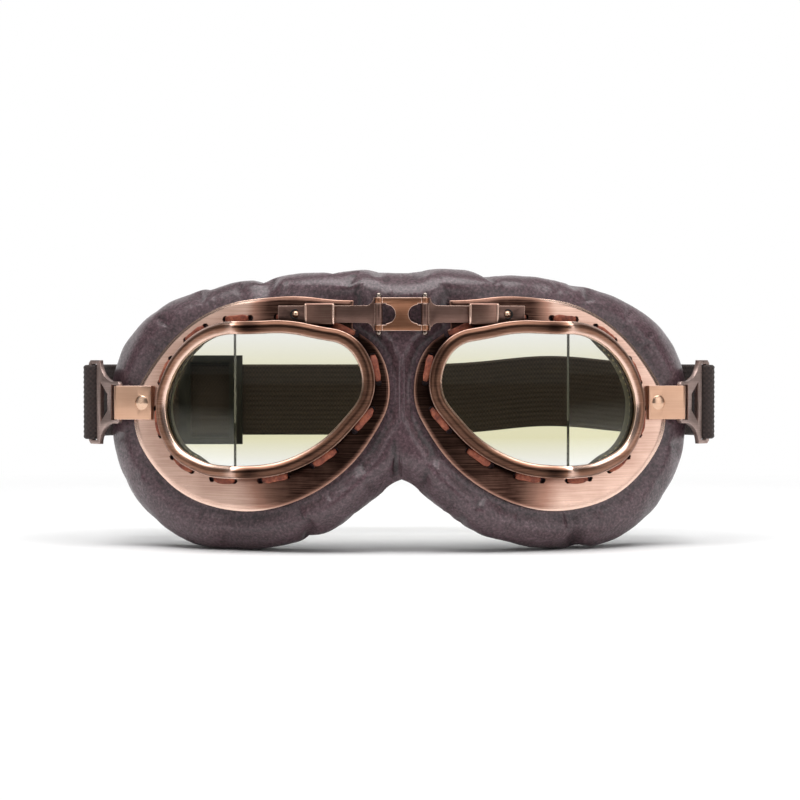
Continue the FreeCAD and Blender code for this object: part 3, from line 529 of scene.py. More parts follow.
def eyeRing(offsets, depths):
    # a profile of outward offsets and depths carried round both panes and mitred at the crease,
    # from the top of the crease by way of the temple
    offsets = np.asarray(offsets, float)
    depths = np.asarray(depths, float)
    halves = []
    for pane in (sidePane, frontPane):
        flat = pane["path"][:, None] + pane["normal"][:, None] * offsets[None, :, None]
        cut = -depths * (pane["back"] @ mitreNormal) / (pane["along"] @ mitreNormal)
        u = np.maximum(flat[..., 0], cut)
        u[[0, -1]] = cut
        u[[1, -2]] = np.maximum(cut + eye["creaseRound"], u[[1, -2]])
        grid = np.array([eye["creaseX"], 0, 0]) + pane["along"] * u[..., None]
        grid = grid + pane["back"] * depths[None, :, None] + np.array([0, 0, 1]) * flat[..., 1:]
        halves.append(grid)
    return np.concatenate([halves[0], halves[1][-2:0:-1]])


def eyeOutline(offset):
    # the eye outline widened by an offset, in the front view
    return eyeRing([offset], [0.0])[:, 0][:, [0, 2]]


# Flange surface: level at the nose, bent back towards the temple and leaning back at the top

flange = {
    "left": 3.8, "width": 85.1694, "bottom": 12.9, "height": 70.0, "noseY": 0.3, "bendX": 12.0,
    "bendRadius": 56.3, "turn": 23.0, "lean": 6.2, "leanLevel": 49.35, "sheet": 0.8, "wallOffset": 2.2,
    "fillet": 0.9, "angles": 540, "edgeTurn": 0.5, "turnShare": 0.14, "backTurnShare": 0.1, "perArc": 14,
    "closing": 12, "sharpDegrees": 40,
    "steps": {"wall": 7, "fillet": 6, "flat": 26, "edge": 8, "back": 9},
    "shares": [(0.141, 0.853), (0.045, 0.753), (0, 0.56), (0.085, 0.316), (0.292, 0.09), (0.581, 0),
               (0.852, 0.119), (1, 0.473), (0.885, 0.747), (0.656, 0.954), (0.425, 1), (0.137, 0.981)],
}


def flangeY(x, z):
    # level, then a circular arc, then a straight slope, all leaning back with height
    turn = np.radians(flange["turn"])
    radius = flange["bendRadius"]
    over = np.clip(x - flange["bendX"], 0, radius * np.sin(turn))
    y = flange["noseY"] + radius - np.sqrt(radius ** 2 - over ** 2)
    y = y + np.maximum(x - flange["bendX"] - radius * np.sin(turn), 0) * np.tan(turn)
    return y + np.tan(np.radians(flange["lean"])) * (z - flange["leanLevel"])


def paneY(x):
    # two straight slopes that meet at the crease
    side = (x - eye["creaseX"]) * np.tan(np.radians(eye["sideTurn"]))
    front = (x - eye["creaseX"]) * np.tan(np.radians(eye["frontTurn"]))
    return np.where(x > eye["creaseX"], side, front)


flangePoints = [(flange["left"] + u * flange["width"], flange["bottom"] + v * flange["height"])
                for u, v in flange["shares"]]
flangeStart = unit(np.subtract(flangePoints[1], flangePoints[0]))
flangeOutline = biarcPath(flangePoints, flangeStart, (-1, 0), flange["perArc"])[0]
closing = np.linspace(flangeOutline[-1], flangeOutline[0], flange["closing"])[1:-1]
flangeOutline = np.vstack([flangeOutline, closing])


def polarRadius(outline, angles):
    # distance from the eye's middle to an outline in the front view, at each angle
    away = outline - eye["middle"]
    rays = np.arctan2(away[:, 1], away[:, 0])
    return np.interp(angles, rays, np.linalg.norm(away, axis=1), period=2 * np.pi)


def onRays(radius, angles):
    # front-view places at a radius on rays from the eye's middle
    x = eye["middle"][0] + radius * np.cos(angles)[:, None]
    z = eye["middle"][1] + radius * np.sin(angles)[:, None]
    return x, z


# Lens rim: a rolled crown between a bead at the lens and a foot on the cup

rim = {
    # offset, depth and wear
    "profile": [(0.0, 0.0, 0.2), (0.0, -0.8, 0.5), (0.08, -1.3, 1.0), (0.42, -1.62, 0.9), (0.95, -2.1, 0.15),
                (1.7, -2.5, 0.05), (2.55, -2.5, 0.05), (3.3, -2.1, 0.1), (3.72, -1.6, 0.25),
                (3.85, -1.35, 0.3), (4.1, -1.2, 1.0), (4.2, -0.85, 0.9), (4.2, -0.4, 0.2), (4.2, 0.0, 0.0)],
    # smoothing, bare edge wear, painted temple light and the distance past the crease it comes in over
    "smoothing": 2, "wear": 0.75, "templeWear": 0.3, "templeOver": 3.0,
    # painted highlight on the crease and painted shade beside it: strength, place past the crease, width
    "rubbed": (0.55, 0.5, 1.8), "dark": (0.2, -5.0, 3.5),
}


def makeRim(side):
    # the softened profile carried round the eye, rubbed on its edges; its temple side painted lighter,
    # and a painted highlight on the crease with painted shade beside it
    profile = softened(np.array(rim["profile"]), rim["smoothing"])
    grid = eyeRing(profile[:, 0], profile[:, 1])
    past = grid[..., 0] - eye["creaseX"]
    # bare edges, plus painted light on the temple side
    worn = profile[:, 2] * rim["wear"] + rim["templeWear"] * ease(past / rim["templeOver"])
    # painted highlight on the crease and painted shade just in front of it
    bands = (rim["rubbed"], rim["dark"])
    rubbed, dark = (strength * ridge(past - at, width) for strength, at, width in bands)
    piece = makeRing(side + "_rim", grid, sides[side], {"worn": worn + (rubbed - dark)})
    dress(piece, "rim", side + "_cup", side + "_lens_rim")


# Lacing places round the wall

lace = {
    "places": 12, "offset": 2.4, "length": 9.0, "width": 2.4, "thickness": 1.1, "lift": 0.8, "dive": 1.2,
    "rings": 26, "section": 14, "from": 0.06, "reach": 0.97, "archPower": 0.3, "seed": 11,
    "widePower": 0.55, "tallPower": 0.7, "pinch": 0.62, "wobble": 0.1, "waves": (4, 9), "uneven": (0.8, 1.15),
    "holeRadius": 1.0, "holeSides": 18, "holeFrom": -2, "holeTo": 3,
}


def lacePlaces():
    # both ends of each stitch, measured along the outline outside the wall
    ring = eyeRing([flange["wallOffset"] + flange["sheet"] + lace["offset"]], [0.0])[:, 0]
    closed = np.vstack([ring, ring[:1]])
    travel = gone(closed)
    centres = travel[-1] / lace["places"] * np.arange(lace["places"])
    ends = (centres[:, None] + np.array([-0.5, 0.5]) * lace["length"]) % travel[-1]
    x = np.interp(ends, travel, closed[:, 0])
    z = np.interp(ends, travel, closed[:, 2])
    return np.stack([x, flangeY(x, z), z], -1)


def rounded(wave, power):
    # a sine or cosine made fuller by a power below 1, with its sign kept
    return np.sign(wave) * np.abs(wave) ** power


def makeLacing(side):
    # each stitch: a flat oval carried along a low arch whose ends dive into the holes
    ends = lacePlaces()
    count = len(ends)
    share = np.linspace(0, 1, lace["rings"])
    draw = np.random.default_rng(lace["seed"])
    start, end = ends[:, :1], ends[:, 1:]
    middle = start + (end - start) * (lace["from"] + lace["reach"] * share)[None, :, None]
    middle[..., 1] = flangeY(middle[..., 0], middle[..., 2])
    arch = np.clip(np.sin(np.pi * share), 0, 1) ** lace["archPower"]
    uneven = draw.uniform(*lace["uneven"], count)[:, None]
    middle[..., 1] -= lace["lift"] * arch * uneven - lace["dive"] * (1 - arch)
    across = unit(np.cross(unit((end - start)[:, 0]), np.array([0, 1, 0])))
    angle = roundAngles(lace["section"])
    wide = rounded(np.cos(angle), lace["widePower"])
    tall = rounded(np.sin(angle), lace["tallPower"])
    pinch = lace["pinch"] + (1 - lace["pinch"]) * ease(4 * np.minimum(share, 1 - share))
    waves = share[None, :] * draw.uniform(*lace["waves"], count)[:, None] + np.arange(count)[:, None]
    width = lace["width"] / 2 * pinch * (1 + lace["wobble"] * np.sin(waves))
    points = middle[:, :, None] + across[:, None, None] * (width[..., None] * wide)[..., None]
    points = points + np.array([0, -1, 0]) * (lace["thickness"] / 2 * tall)[None, None, :, None]
    piece = makeTubes(side + "_lace", points, sides[side])
    dress(piece, "lace", side + "_cup", side + "_lacing")


# Eyecup: wall, fillet, flange and turned edge as one sheet

wear = {
    # painted temple light, a rubbed bare edge, and patina with painted shade next to the wall
    "least": 0.04, "temple": 0.82, "templeFrom": 35.0, "templeOver": 20.0,
    "outerShare": 0.25, "outerFrom": 1.5,
    # along the brow the painted temple light starts later, so the brow stays dark for longer
    "browLevel": 58.0, "browOver": 10.0, "browFrom": 7.0, "browNarrow": 10.0,
    "edge": 0.6, "edgeWidth": 0.6, "corner": 0.2, "cornerWidth": 1.5,
}


def cupGrid():
    # a closed section of wall, fillet, flange, edge and back, carried round the eye by angle
    angles = roundAngles(flange["angles"])
    sheet = flange["sheet"]
    fillet = flange["fillet"]
    half = sheet / 2
    outer = polarRadius(eyeOutline(flange["wallOffset"] + sheet), angles)[:, None]
    inner = polarRadius(eyeOutline(flange["wallOffset"]), angles)[:, None]
    edge = polarRadius(flangeOutline, angles)[:, None]
    steps = flange["steps"]
    down = np.linspace(0, 1, steps["wall"])[None]
    quarter = np.linspace(0, np.pi / 2, steps["fillet"])[1:][None]
    across = np.linspace(0, 1, steps["flat"])[1:][None]
    bow = np.linspace(0, np.pi, steps["edge"])[1:][None]
    inward = np.linspace(0, 1, steps["back"])[1:][None]

    def depthAt(radius):
        x, z = onRays(radius, angles)
        return flangeY(x, z), paneY(x)
    wallR = outer * np.ones_like(down)
    wallF, wallP = depthAt(wallR)
    wallY = wallP + (wallF - fillet - wallP) * down
    filletR = outer + fillet * (1 - np.cos(quarter))
    filletY = depthAt(filletR)[0] - fillet * (1 - np.sin(quarter))
    flatR = (outer + fillet) + (edge - half - outer - fillet) * across
    flatY = depthAt(flatR)[0] + flange["edgeTurn"] * ease((across - 1) / flange["turnShare"] + 1)
    bowR = edge - half + half * np.sin(bow)
    bowY = depthAt(bowR)[0] + half * (1 - np.cos(bow)) + flange["edgeTurn"]
    backR = (edge - half) + (inner - edge + half) * inward
    backY = depthAt(backR)[0] + sheet + flange["edgeTurn"] * ease(1 - inward / flange["backTurnShare"])
    riseR = inner * np.ones_like(inward)
    riseF, riseP = depthAt(riseR)
    riseY = riseF + sheet + (riseP - riseF - sheet) * inward
    radius = np.hstack([wallR, filletR, flatR, bowR, backR, riseR])
    depth = np.hstack([wallY, filletY, flatY, bowY, backY, riseY])
    x, z = onRays(radius, angles)
    # painted light: the temple side lighter, more so outwards and less along the brow
    outward = np.clip((radius - outer - wear["outerFrom"]) / (edge - outer), 0, 1)
    brow = ease((z - wear["browLevel"]) / wear["browOver"])
    past = x - wear["templeFrom"] - wear["browFrom"] * brow
    toTemple = ease(past / (wear["templeOver"] - wear["browNarrow"] * brow))
    worn = wear["temple"] * toTemple * (1 - wear["outerShare"] + wear["outerShare"] * outward)
    # the rubbed bare edge, and darker next to the wall: patina there with painted shade
    worn = wear["least"] + worn + wear["edge"] * ridge(radius - edge, wear["edgeWidth"])
    worn = worn - wear["corner"] * ridge(radius - outer, wear["cornerWidth"])
    return np.stack([x, depth, z], -1), worn


def makeCup(side):
    grid, worn = cupGrid()
    piece = makeRing(side + "_cup", grid, sides[side], {"worn": worn})
    # stitch holes punched straight through
    ends = lacePlaces().reshape(-1, 3)
    angle = roundAngles(lace["holeSides"])
    circle = np.stack([np.cos(angle), np.zeros_like(angle), np.sin(angle)], -1) * lace["holeRadius"]
    rods = ends[:, None, None] + circle + np.array([[[0, lace["holeFrom"], 0]], [[0, lace["holeTo"], 0]]])
    punch = makeTubes(side + "_punch", rods, sides[side])
    piece.data.materials.append(finish["cup"])
    # the hole walls take the near-black painted shade
    punch.data.materials.append(finish["hole"])
    holes = piece.modifiers.new("stitch holes", "BOOLEAN")
    holes.operation = "DIFFERENCE"
    holes.object = punch
    holes.material_mode = "TRANSFER"
    settle(piece, flange["sharpDegrees"])
    bpy.data.objects.remove(punch)
    dress(piece, None, side + "_cup", side + "_eyecup")


# Padded mask: each half is a closed ring of sections round the eye, puffed as cloth, cut in cover and lining

pad = {
    "outline": [(0, 90.7), (14, 91.6), (30, 90.6), (60, 86.3), (80, 79.3), (93.4, 65.5), (97.1, 45.1),
                (88.4, 16.6), (70, 2.6), (49.9, 0.8), (24, 6.8), (8.6, 17.3), (2, 22.7), (0, 23.5)],
    "perArc": 16, "middleSteps": 80, "angles": 360, "frontSteps": 13, "sideSteps": 6, "groups": 24,
    "openingOffset": 3.2, "templeInset": 2.6, "templeX": 58.0, "templeWidth": 12.0, "seat": 0.95,
    "depth": 21.0, "frontRoll": 9.5, "rearRoll": 7.0, "band": 12.0, "bandShare": 0.8, "crown": 2.6,
    "crownOver": 5.0, "crownEdge": 7.0, "flangeGap": 1.0, "edgeMargin": 5.0, "leather": 1.0,
    "noseThickness": 2.4, "noseSoftness": 3.0,
    # zones from the middle outwards: from and to in x, and the share of filling
    "zones": {"nose": (-20, 2.4, 0.6), "nose_side": (2.4, 12, 0.6), "pad": (12, 200, 0.7)},
    # between which places in x the nose leather turns from one body to the next, and at what height
    "turns": {"nose": (0.0, 2.2), "nose_side": (2.6, 6.2)}, "turnLevel": 40,
    # zones and turns lean outwards by this much for each millimetre behind the front
    "lean": 0.16, "leanFrom": -1.0,
    "channelRadius": 12.0, "channelDepth": 13.0, "channelTopShare": 0.5, "channelHeight": 97.0,
    "channelGap": 0.4, "channelFlare": 2.0,
    "puckerSpacing": 11.0, "puckerDepth": 0.26, "puckerReach": 46.0, "puckerFade": 8.0, "puckerPower": 1.4,
    "puckerFrom": 8.0, "puckerOver": 12.0, "puckerShift": 0.35, "puckerLean": 0.3, "puckerWidths": (1.5, 3.6),
    "puckerShares": (0.1, 1.0), "sharePower": 1.5, "seeds": {"left": 5, "right": 8},
    # single dents: degrees round the eye, width and depth
    "dents": {"left": [(-112, 3.6, 1.3), (-78, 5.0, 0.6), (95, 4.0, 1.4), (122, 6.0, 0.5)],
              "right": [(-77, 3.2, 1.6), (-105, 5.0, 0.7), (112, 5.0, 0.9), (46, 6.0, 0.9), (-35, 5.0, 0.5)]},
    # nose folds: place at the low end, lean, width, depth, low and high end
    "folds": {"left": [(1.2, 0.10, 1.3, 1.5, 22, 44), (9.0, 0.45, 1.8, 0.7, 20, 40)],
              "right": [(0.2, 0.02, 1.2, 0.5, 22, 34), (5.5, 0.35, 1.7, 0.9, 20, 42)]},
    "foldRise": 5.0, "foldFade": 3.5, "lumpWave": 11, "lumps": 0.14,
    # columns from the side to the seam, and over how many the puckers die away behind it
    "seam": 5, "seamFade": 6,
    # what holds the leather still: near the flange and near the middle, at the notch further than at the brow
    "flangeHold": 4.0, "middleHold": 1.0, "browHold": 8, "notchHold": 16, "notchLevel": 40, "notchOver": 12,
    # lumps only where the hold is less than this
    "lumpHold": 0.9,
    # painted shade of hollows and of folds, at this distance from the flange and beyond
    "hollowDark": 3.0, "foldDark": 0.3, "darkFrom": 0.5,
    # distances to an outline that are less than this count as none
    "slack": 0.02,
}
puff = {"frames": 20, "scale": 10.0, "pressure": 8.0, "growth": 0.02, "bending": 30.0, "cap": 3.0,
        "quality": 5, "holdLevels": 5}


def nearest(places, outline):
    # distance from each place to the nearest point of a closed outline, taken side by side in groups
    best = np.full(len(places), np.inf)
    sideVectors = np.roll(outline, -1, 0) - outline
    for part in np.array_split(np.arange(len(outline)), pad["groups"]):
        start, along = outline[part], sideVectors[part]
        away = places[:, None] - start
        share = np.clip((away * along).sum(-1) / np.maximum((along ** 2).sum(-1), 1e-9), 0, 1)
        best = np.minimum(best, np.linalg.norm(away - along * share[..., None], axis=-1).min(1))
    return np.maximum(best - pad["slack"], 0)


def quarterFall(distance, roll):
    # how far a surface has fallen at a distance inside the edge: a quarter circle of the roll's radius
    inside = np.clip(1 - distance / roll, 0, 1)
    return roll * (1 - np.sqrt(np.maximum(1 - inside ** 2, 0)))


def softLower(one, other, width):
    # the lower of two surfaces, with a parabola in place of the crease where they are less than a width apart
    share = np.clip(0.5 + (other - one) / (2 * width), 0, 1)
    return other * (1 - share) + one * share - width * share * (1 - share)


def openingLine(offset):
    # the edge of the pad's eye opening in the front view, drawn in towards the temple
    line = eyeOutline(offset)
    inset = pad["templeInset"] * ease((line[:, 0] - pad["templeX"]) / pad["templeWidth"])
    return line + unit(eye["middle"] - line) * inset[:, None]


def maskHalf():
    # sections of front sheet, side, rear sheet and inner wall on rays from the eye; the front sheet falls
    # away near the mask's edge by a quarter circle of the distance to it, and swells between flange and edge
    half = biarcPath(pad["outline"], (1, 0), (-1, 0), pad["perArc"])[0]
    whole = np.vstack([half, half[::-1] * np.array([-1, 1])])
    upright = np.linspace(half[-1, 1], half[0, 1], pad["middleSteps"])
    middleLine = np.stack([np.zeros_like(upright), upright], 1)[1:-1]
    angles = np.linspace(-np.pi, np.pi, pad["angles"], endpoint=False)
    for end in (half[0], half[-1]):
        across, up = end - eye["middle"]
        corner = np.arctan2(up, across)
        angles[np.argmin(np.abs(angles - corner))] = corner
    opening = polarRadius(openingLine(pad["openingOffset"]), angles)[:, None]
    outer = polarRadius(np.vstack([half, middleLine]), angles)[:, None]
    band = np.minimum(pad["band"], (outer - opening) * pad["bandShare"])
    rise = np.linspace(0, np.pi / 2, pad["frontSteps"])[1:][None]
    level = np.linspace(0, 1, pad["frontSteps"])[None]
    frontR = np.hstack([opening + (outer - band - opening) * level, outer - band * (1 - np.sin(rise))])
    rearR = frontR[:, ::-1]
    sideOnes = np.ones((1, pad["sideSteps"]))
    radius = np.hstack([frontR, outer * sideOnes, rearR, opening * sideOnes])
    frontEnd = frontR.shape[1]
    sideEnd = frontEnd + pad["sideSteps"]
    rearEnd = sideEnd + rearR.shape[1]
    x, z = onRays(radius, angles)
    flat = np.stack([x, z], -1).reshape(-1, 2)
    toEdge = nearest(flat, whole).reshape(x.shape)
    away = np.stack([x, z], -1) - eye["middle"]
    ray = np.arctan2(away[..., 1], away[..., 0])
    underFlange = np.linalg.norm(away, axis=-1) < polarRadius(flangeOutline, ray)
    toFlange = np.where(underFlange, 0, nearest(flat, flangeOutline).reshape(x.shape))
    swell = ease((toFlange - pad["flangeGap"]) / pad["crownOver"]) * ease(toEdge / pad["crownEdge"])
    front = pad["seat"] + flange["sheet"] + quarterFall(toEdge, pad["frontRoll"]) - pad["crown"] * swell
    rear = pad["depth"] - quarterFall(toEdge, pad["rearRoll"])
    # hollow behind for the nose: a tapered round channel
    taper = 1 - (1 - pad["channelTopShare"]) * np.clip(z, 0, None) / pad["channelHeight"]
    channel = pad["channelRadius"] * taper
    axis = pad["depth"] - pad["channelDepth"] + pad["channelRadius"] + pad["channelGap"]
    scoop = axis - np.sqrt(np.maximum(channel ** 2 - x ** 2, 0))
    scoop = scoop + pad["channelFlare"] * np.maximum(x - channel, 0)
    rear = softLower(rear, scoop, pad["noseSoftness"])
    # the front leather stays ahead of the hollow
    front = softLower(front, rear - pad["noseThickness"], pad["noseSoftness"])
    depth = np.where(np.arange(x.shape[1]) < frontEnd, front, rear)
    # side and inner wall run straight from sheet to sheet
    step = np.linspace(0, 1, pad["sideSteps"] + 2)[1:-1]
    for first, after, start in ((frontEnd, sideEnd, sideEnd), (rearEnd, x.shape[1], 0)):
        depth[:, first:after] = depth[:, first - 1:first] * (1 - step) + depth[:, start:start + 1] * step
    grid = np.stack([x, flangeY(np.maximum(x, 0), z) + depth, z], -1)
    return {"grid": grid, "ray": ray, "toEdge": toEdge, "toFlange": toFlange,
            "frontEnd": frontEnd, "sideEnd": sideEnd}


def gridNormals(grid):
    # outward directions of a closed grid from the cross product of its two differences
    along = np.roll(grid, -1, 0) - np.roll(grid, 1, 0)
    across = np.roll(grid, -1, 1) - np.roll(grid, 1, 1)
    normals = unit(np.cross(along, across) + 1e-12)
    if (normals * (grid - grid.mean(1, keepdims=True))).sum() < 0:
        normals = -normals
    return normals


def hollows(grid, normals):
    # how deep each place lies below the mean of its four neighbours
    around = (np.roll(grid, 1, 0) + np.roll(grid, -1, 0) + np.roll(grid, 1, 1) + np.roll(grid, -1, 1)) / 4
    return ((around - grid) * normals).sum(-1)


def puckers(half, side):
    # gathers square to the outer seam: seeded dents along the edge and the single deep ones, fading inwards
    draw = np.random.default_rng(pad["seeds"][side])
    reach = pad["puckerReach"]
    lap = 2 * np.pi * reach
    count = int(lap / pad["puckerSpacing"])
    shift = draw.uniform(-pad["puckerShift"], pad["puckerShift"], count)
    places = (np.arange(count) + shift) * pad["puckerSpacing"]
    widths = draw.uniform(*pad["puckerWidths"], count)
    depths = draw.uniform(*pad["puckerShares"], count) ** pad["sharePower"] * pad["puckerDepth"]
    leans = draw.uniform(-pad["puckerLean"], pad["puckerLean"], count)
    degrees, dentWidths, dentDepths = np.array(pad["dents"][side], float).T
    places = np.concatenate([places, np.radians(degrees) * reach])
    widths = np.concatenate([widths, dentWidths])
    depths = np.concatenate([depths, dentDepths])
    leans = np.concatenate([leans, np.zeros(len(degrees))])
    off = half["ray"][..., None] * reach - places - leans * half["toEdge"][..., None]
    off = (off + lap / 2) % lap - lap / 2
    total = (depths * ridge(off, widths)).sum(-1)
    return total * np.exp(-(half["toEdge"] / pad["puckerFade"]) ** pad["puckerPower"])


def puffed(grid, hold):
    # the half mask as cloth: pressure and a little spare leather lift it between the places that hold it
    points = grid.reshape(-1, 3) * mm * puff["scale"]
    piece = makePiece("puff", points, gridQuads(*grid.shape[:2], True, True))
    group = piece.vertex_groups.new(name="hold")
    levels = np.round(hold.ravel() * puff["holdLevels"]) / puff["holdLevels"]
    for level in np.unique(levels):
        group.add([int(index) for index in np.flatnonzero(levels == level)], float(level), "REPLACE")
    cloth = piece.modifiers.new("leather", "CLOTH")
    cloth.settings.quality = puff["quality"]
    cloth.settings.vertex_group_mass = "hold"
    cloth.settings.use_pressure = True
    cloth.settings.uniform_pressure_force = puff["pressure"]
    cloth.settings.shrink_min = -puff["growth"]
    cloth.settings.bending_stiffness = puff["bending"]
    cloth.settings.effector_weights.gravity = 0
    cloth.collision_settings.use_collision = False
    for step in range(1, puff["frames"] + 1):
        scene.frame_set(step)
    result = np.empty(len(points) * 3, np.float32)
    piece.evaluated_get(bpy.context.evaluated_depsgraph_get()).data.vertices.foreach_get("co", result)
    mesh = piece.data
    bpy.data.objects.remove(piece)
    bpy.data.meshes.remove(mesh)
    scene.frame_set(1)
    moved = result.reshape(grid.shape) / (mm * puff["scale"]) - grid
    size = np.linalg.norm(moved, axis=-1, keepdims=True)
    print("puffed by up to", round(float(size.max()), 2), "mm, on average", round(float(size.mean()), 2))
    return grid + moved * np.minimum(1, puff["cap"] / np.maximum(size, 1e-9))


def noseFolds(x, z, folds):
    # soft furrows that run up from the nose notch and die away
    total = np.zeros_like(x)
    for place, lean, width, deep, low, high in folds:
        rise = ease((z - low) / pad["foldRise"] + 1) * ease((high - z) / (high - low))
        total += deep * ridge(x - place - lean * (z - low), width) * rise
    return total


def cutPiece(name, shaped, normals, crease, behind, columns, low, high, side):
    # the faces of some columns of the half mask between two places in x, given their thickness; with a mark
    # for each face that lies behind, away from the outer edge
    part = shaped[:, columns]
    quads = gridQuads(*part.shape[:2], True, False)
    flat = part.reshape(-1, 3)
    place = (flat[quads][..., 0] - pad["lean"] * (flat[quads][..., 1] - pad["leanFrom"])).mean(1)
    quads = quads[(place >= low) & (place < high)]
    lined = behind[:, columns].reshape(-1)[quads].all(1)
    used, back = np.unique(quads, return_inverse=True)
    points = toFrame(flat[used], sides[side])
    quads = back.reshape(-1, 4)
    corners = points[quads]
    facing = np.cross(corners[:, 2] - corners[:, 0], corners[:, 3] - corners[:, 1])
    outwards = normals[:, columns].reshape(-1, 3)[used] * np.array([sides[side], 1, 1])
    if (facing * outwards[quads].mean(1)).sum() < 0:
        quads = quads[:, ::-1]
    # the inner face, and walls along the edges that only one face has
    edges = np.concatenate([quads[:, [corner, (corner + 1) % 4]] for corner in range(4)])
    where, counts = np.unique(np.sort(edges, 1), axis=0, return_inverse=True, return_counts=True)[1:]
    start, end = edges[counts[where.ravel()] == 1].T
    count = len(points)
    walls = np.stack([end, start, start + count, end + count], 1)
    shell = np.vstack([points, points - outwards * pad["leather"] * mm])
    quads = np.concatenate([quads, quads[:, ::-1] + count, walls])
    piece = makeSheet(name, shell, quads, {"crease": np.tile(crease[:, columns].reshape(-1)[used], 2)})
    return piece, np.concatenate([lined, lined, np.zeros(len(walls))]).astype(np.int32)


def shapeMask(half, side):
    # the half mask puckered, puffed, folded and lumpy, with its normals and the painted shade of its creases
    grid = half["grid"]
    columns = np.arange(grid.shape[1])
    seam = half["sideEnd"] + pad["seam"]
    x, z = grid[..., 0], grid[..., 2]
    outside = np.clip((seam + pad["seam"] - columns) / pad["seamFade"], 0, 1)
    dents = puckers(half, side) * outside * ease((x - pad["puckerFrom"]) / pad["puckerOver"])
    start = grid - gridNormals(grid) * dents[..., None]
    free = ease((half["toFlange"] - pad["flangeGap"]) / pad["flangeHold"])
    hold = np.where(columns >= seam, 1.0, 1 - free)
    reach = pad["browHold"] + pad["notchHold"] * ease((pad["notchLevel"] - z) / pad["notchOver"])
    hold = np.maximum(hold, 1 - ease((x - pad["middleHold"]) / reach))
    shaped = puffed(start, hold)
    normals = gridNormals(shaped)
    folds = noseFolds(x, z, pad["folds"][side]) * (columns < half["frontEnd"])
    folds = folds * ease(half["toEdge"] / pad["foldFade"])
    lumps = ripple(grid, pad["lumpWave"], pad["seeds"][side]) * pad["lumps"] * (hold < pad["lumpHold"])
    shaped = shaped + normals * (lumps - folds)[..., None]
    shaped[..., 2] = np.maximum(shaped[..., 2], 0.0)
    shaped[..., 0] = np.where(x < 1e-6, 0.0, np.maximum(shaped[..., 0], 0.0))
    # painted shade: darker in hollows and folds, not right next to the flange
    crease = np.clip(hollows(shaped, normals) * pad["hollowDark"] + folds * pad["foldDark"], 0, 1)
    return shaped, normals, crease * (half["toFlange"] > pad["darkFrom"])


def makeMask(side):
    # cover and lining, cut into zones that ride on the cup or turn from one body to the next
    half = maskHalf()
    shaped, normals, crease = shapeMask(half, side)
    columns = np.arange(shaped.shape[1])
    seam = half["sideEnd"] + pad["seam"]
    behind = (half["toEdge"] > pad["edgeMargin"]) & (columns >= half["frontEnd"])
    bar = side + "_bar"
    cup = side + "_cup"
    joined = {"nose": ("bridge", bar), "nose_side": (bar, cup)}
    covered = [side + "_leather_cover", side + "_foam_core"]
    parts = {"cover": (columns[:seam + 1], "leather", "brown_leather", covered),
             "lining": (np.append(columns[seam:], 0), "lining", "black_lining", [side + "_face_lining"])}
    for part, (chosen, material, slotName, nodes) in parts.items():
        for zone, (low, high, fill) in pad["zones"].items():
            name = side + "_" + zone + "_" + part
            piece, lined = cutPiece(name, shaped, normals, crease, behind, chosen, low, high, side)
            dress(piece, material)
            if part == "cover":
                piece.data.materials.append(finish["lining"])
                piece.data.polygons.foreach_set("material_index", lined)
            if zone == "pad":
                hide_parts(*nodes)
                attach(piece, cup)
            else:
                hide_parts("nose_leather")
                first, last = pad["turns"][zone]
                along = (last - first) / (1 + pad["lean"] ** 2)
                y, level = pad["leanFrom"], pad["turnLevel"]
                start = spot(first, y, level, sides[side])
                end = spot(first + along, y - along * pad["lean"], level, sides[side])
                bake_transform(piece, *joined[zone], start, end)


# Overlock stitching round the eye opening of the lining

overlock = {"offset": 2.95, "spacing": 2.3, "length": 2.3, "thread": 0.28, "start": 1.5, "slant": 0.9,
            "lift": 0.35, "rings": 6, "around": 6}


def makeOverlock(side):
    # short slanting thread loops on the inner wall of the pad: an arc of thread, round in section
    line = openingLine(overlock["offset"])
    closed = np.vstack([line, line[:1]])
    travel = gone(closed)
    count = int(travel[-1] / overlock["spacing"])
    where = np.arange(count) * travel[-1] / count
    share = np.linspace(0, 1, overlock["rings"])
    slant = (where[:, None] + (share - 0.5) * overlock["slant"]) % travel[-1]
    x = np.interp(slant, travel, closed[:, 0])
    z = np.interp(slant, travel, closed[:, 1])
    half = overlock["rings"] // 2
    inX, inZ = unit(eye["middle"] - np.stack([x[:, half], z[:, half]], -1)).T
    level = np.zeros(count)
    inwards = np.stack([inX, level, inZ], -1)
    sideways = np.stack([-inZ, level, inX], -1)
    depth = flangeY(x, z) + overlock["start"] + overlock["length"] * share
    path = np.stack([x, depth, z], -1)
    path = path + inwards[:, None] * (overlock["lift"] * np.sin(np.pi * share))[None, :, None]
    angle = roundAngles(overlock["around"])[None, :, None]
    ring = sideways[:, None] * np.cos(angle) + inwards[:, None] * np.sin(angle)
    points = path[:, :, None] + ring[:, None] * overlock["thread"]
    dress(makeTubes(side + "_overlock", points, sides[side]), "thread", side + "_cup")


# Strap: one ribbon of ribbed elastic, cut where it changes body

strap = {
    "barX": 103.8873, "barY": 38.1994, "wrap": 2.2, "layer": 1.95, "backY": 76.0, "bend": 14.0, "loop": 22.0,
    "low": 35.4964, "width": 25.0, "thickness": 1.6, "ribs": 15, "ribSteps": 4, "ribDepth": 0.16,
    "edgeShare": 0.03, "sliderEnd": -76.5, "tailX": -91.5, "step": 1.6, "arcSteps": 16,
    # the slack run behind the right eye lifts by this much round this place
    "lift": 3.0, "liftX": 54.0, "liftWidth": 24.0,
    # the left cup's run begins here; from the first hand place on each body hands the strap on to the next
    "cupX": -90, "handX": [6, 14, 48, 82, 90],
    "bodies": ["left_cup", "left_bar", "bridge", "right_bar", "right_cup"],
    # where the tail turns to the slider in x, where a loop turns from buckle to cup in y, and at what height
    "tailTurn": (-91, -80), "loopX": 104, "loopTurn": (44, 72), "turnLevel": 48,
}


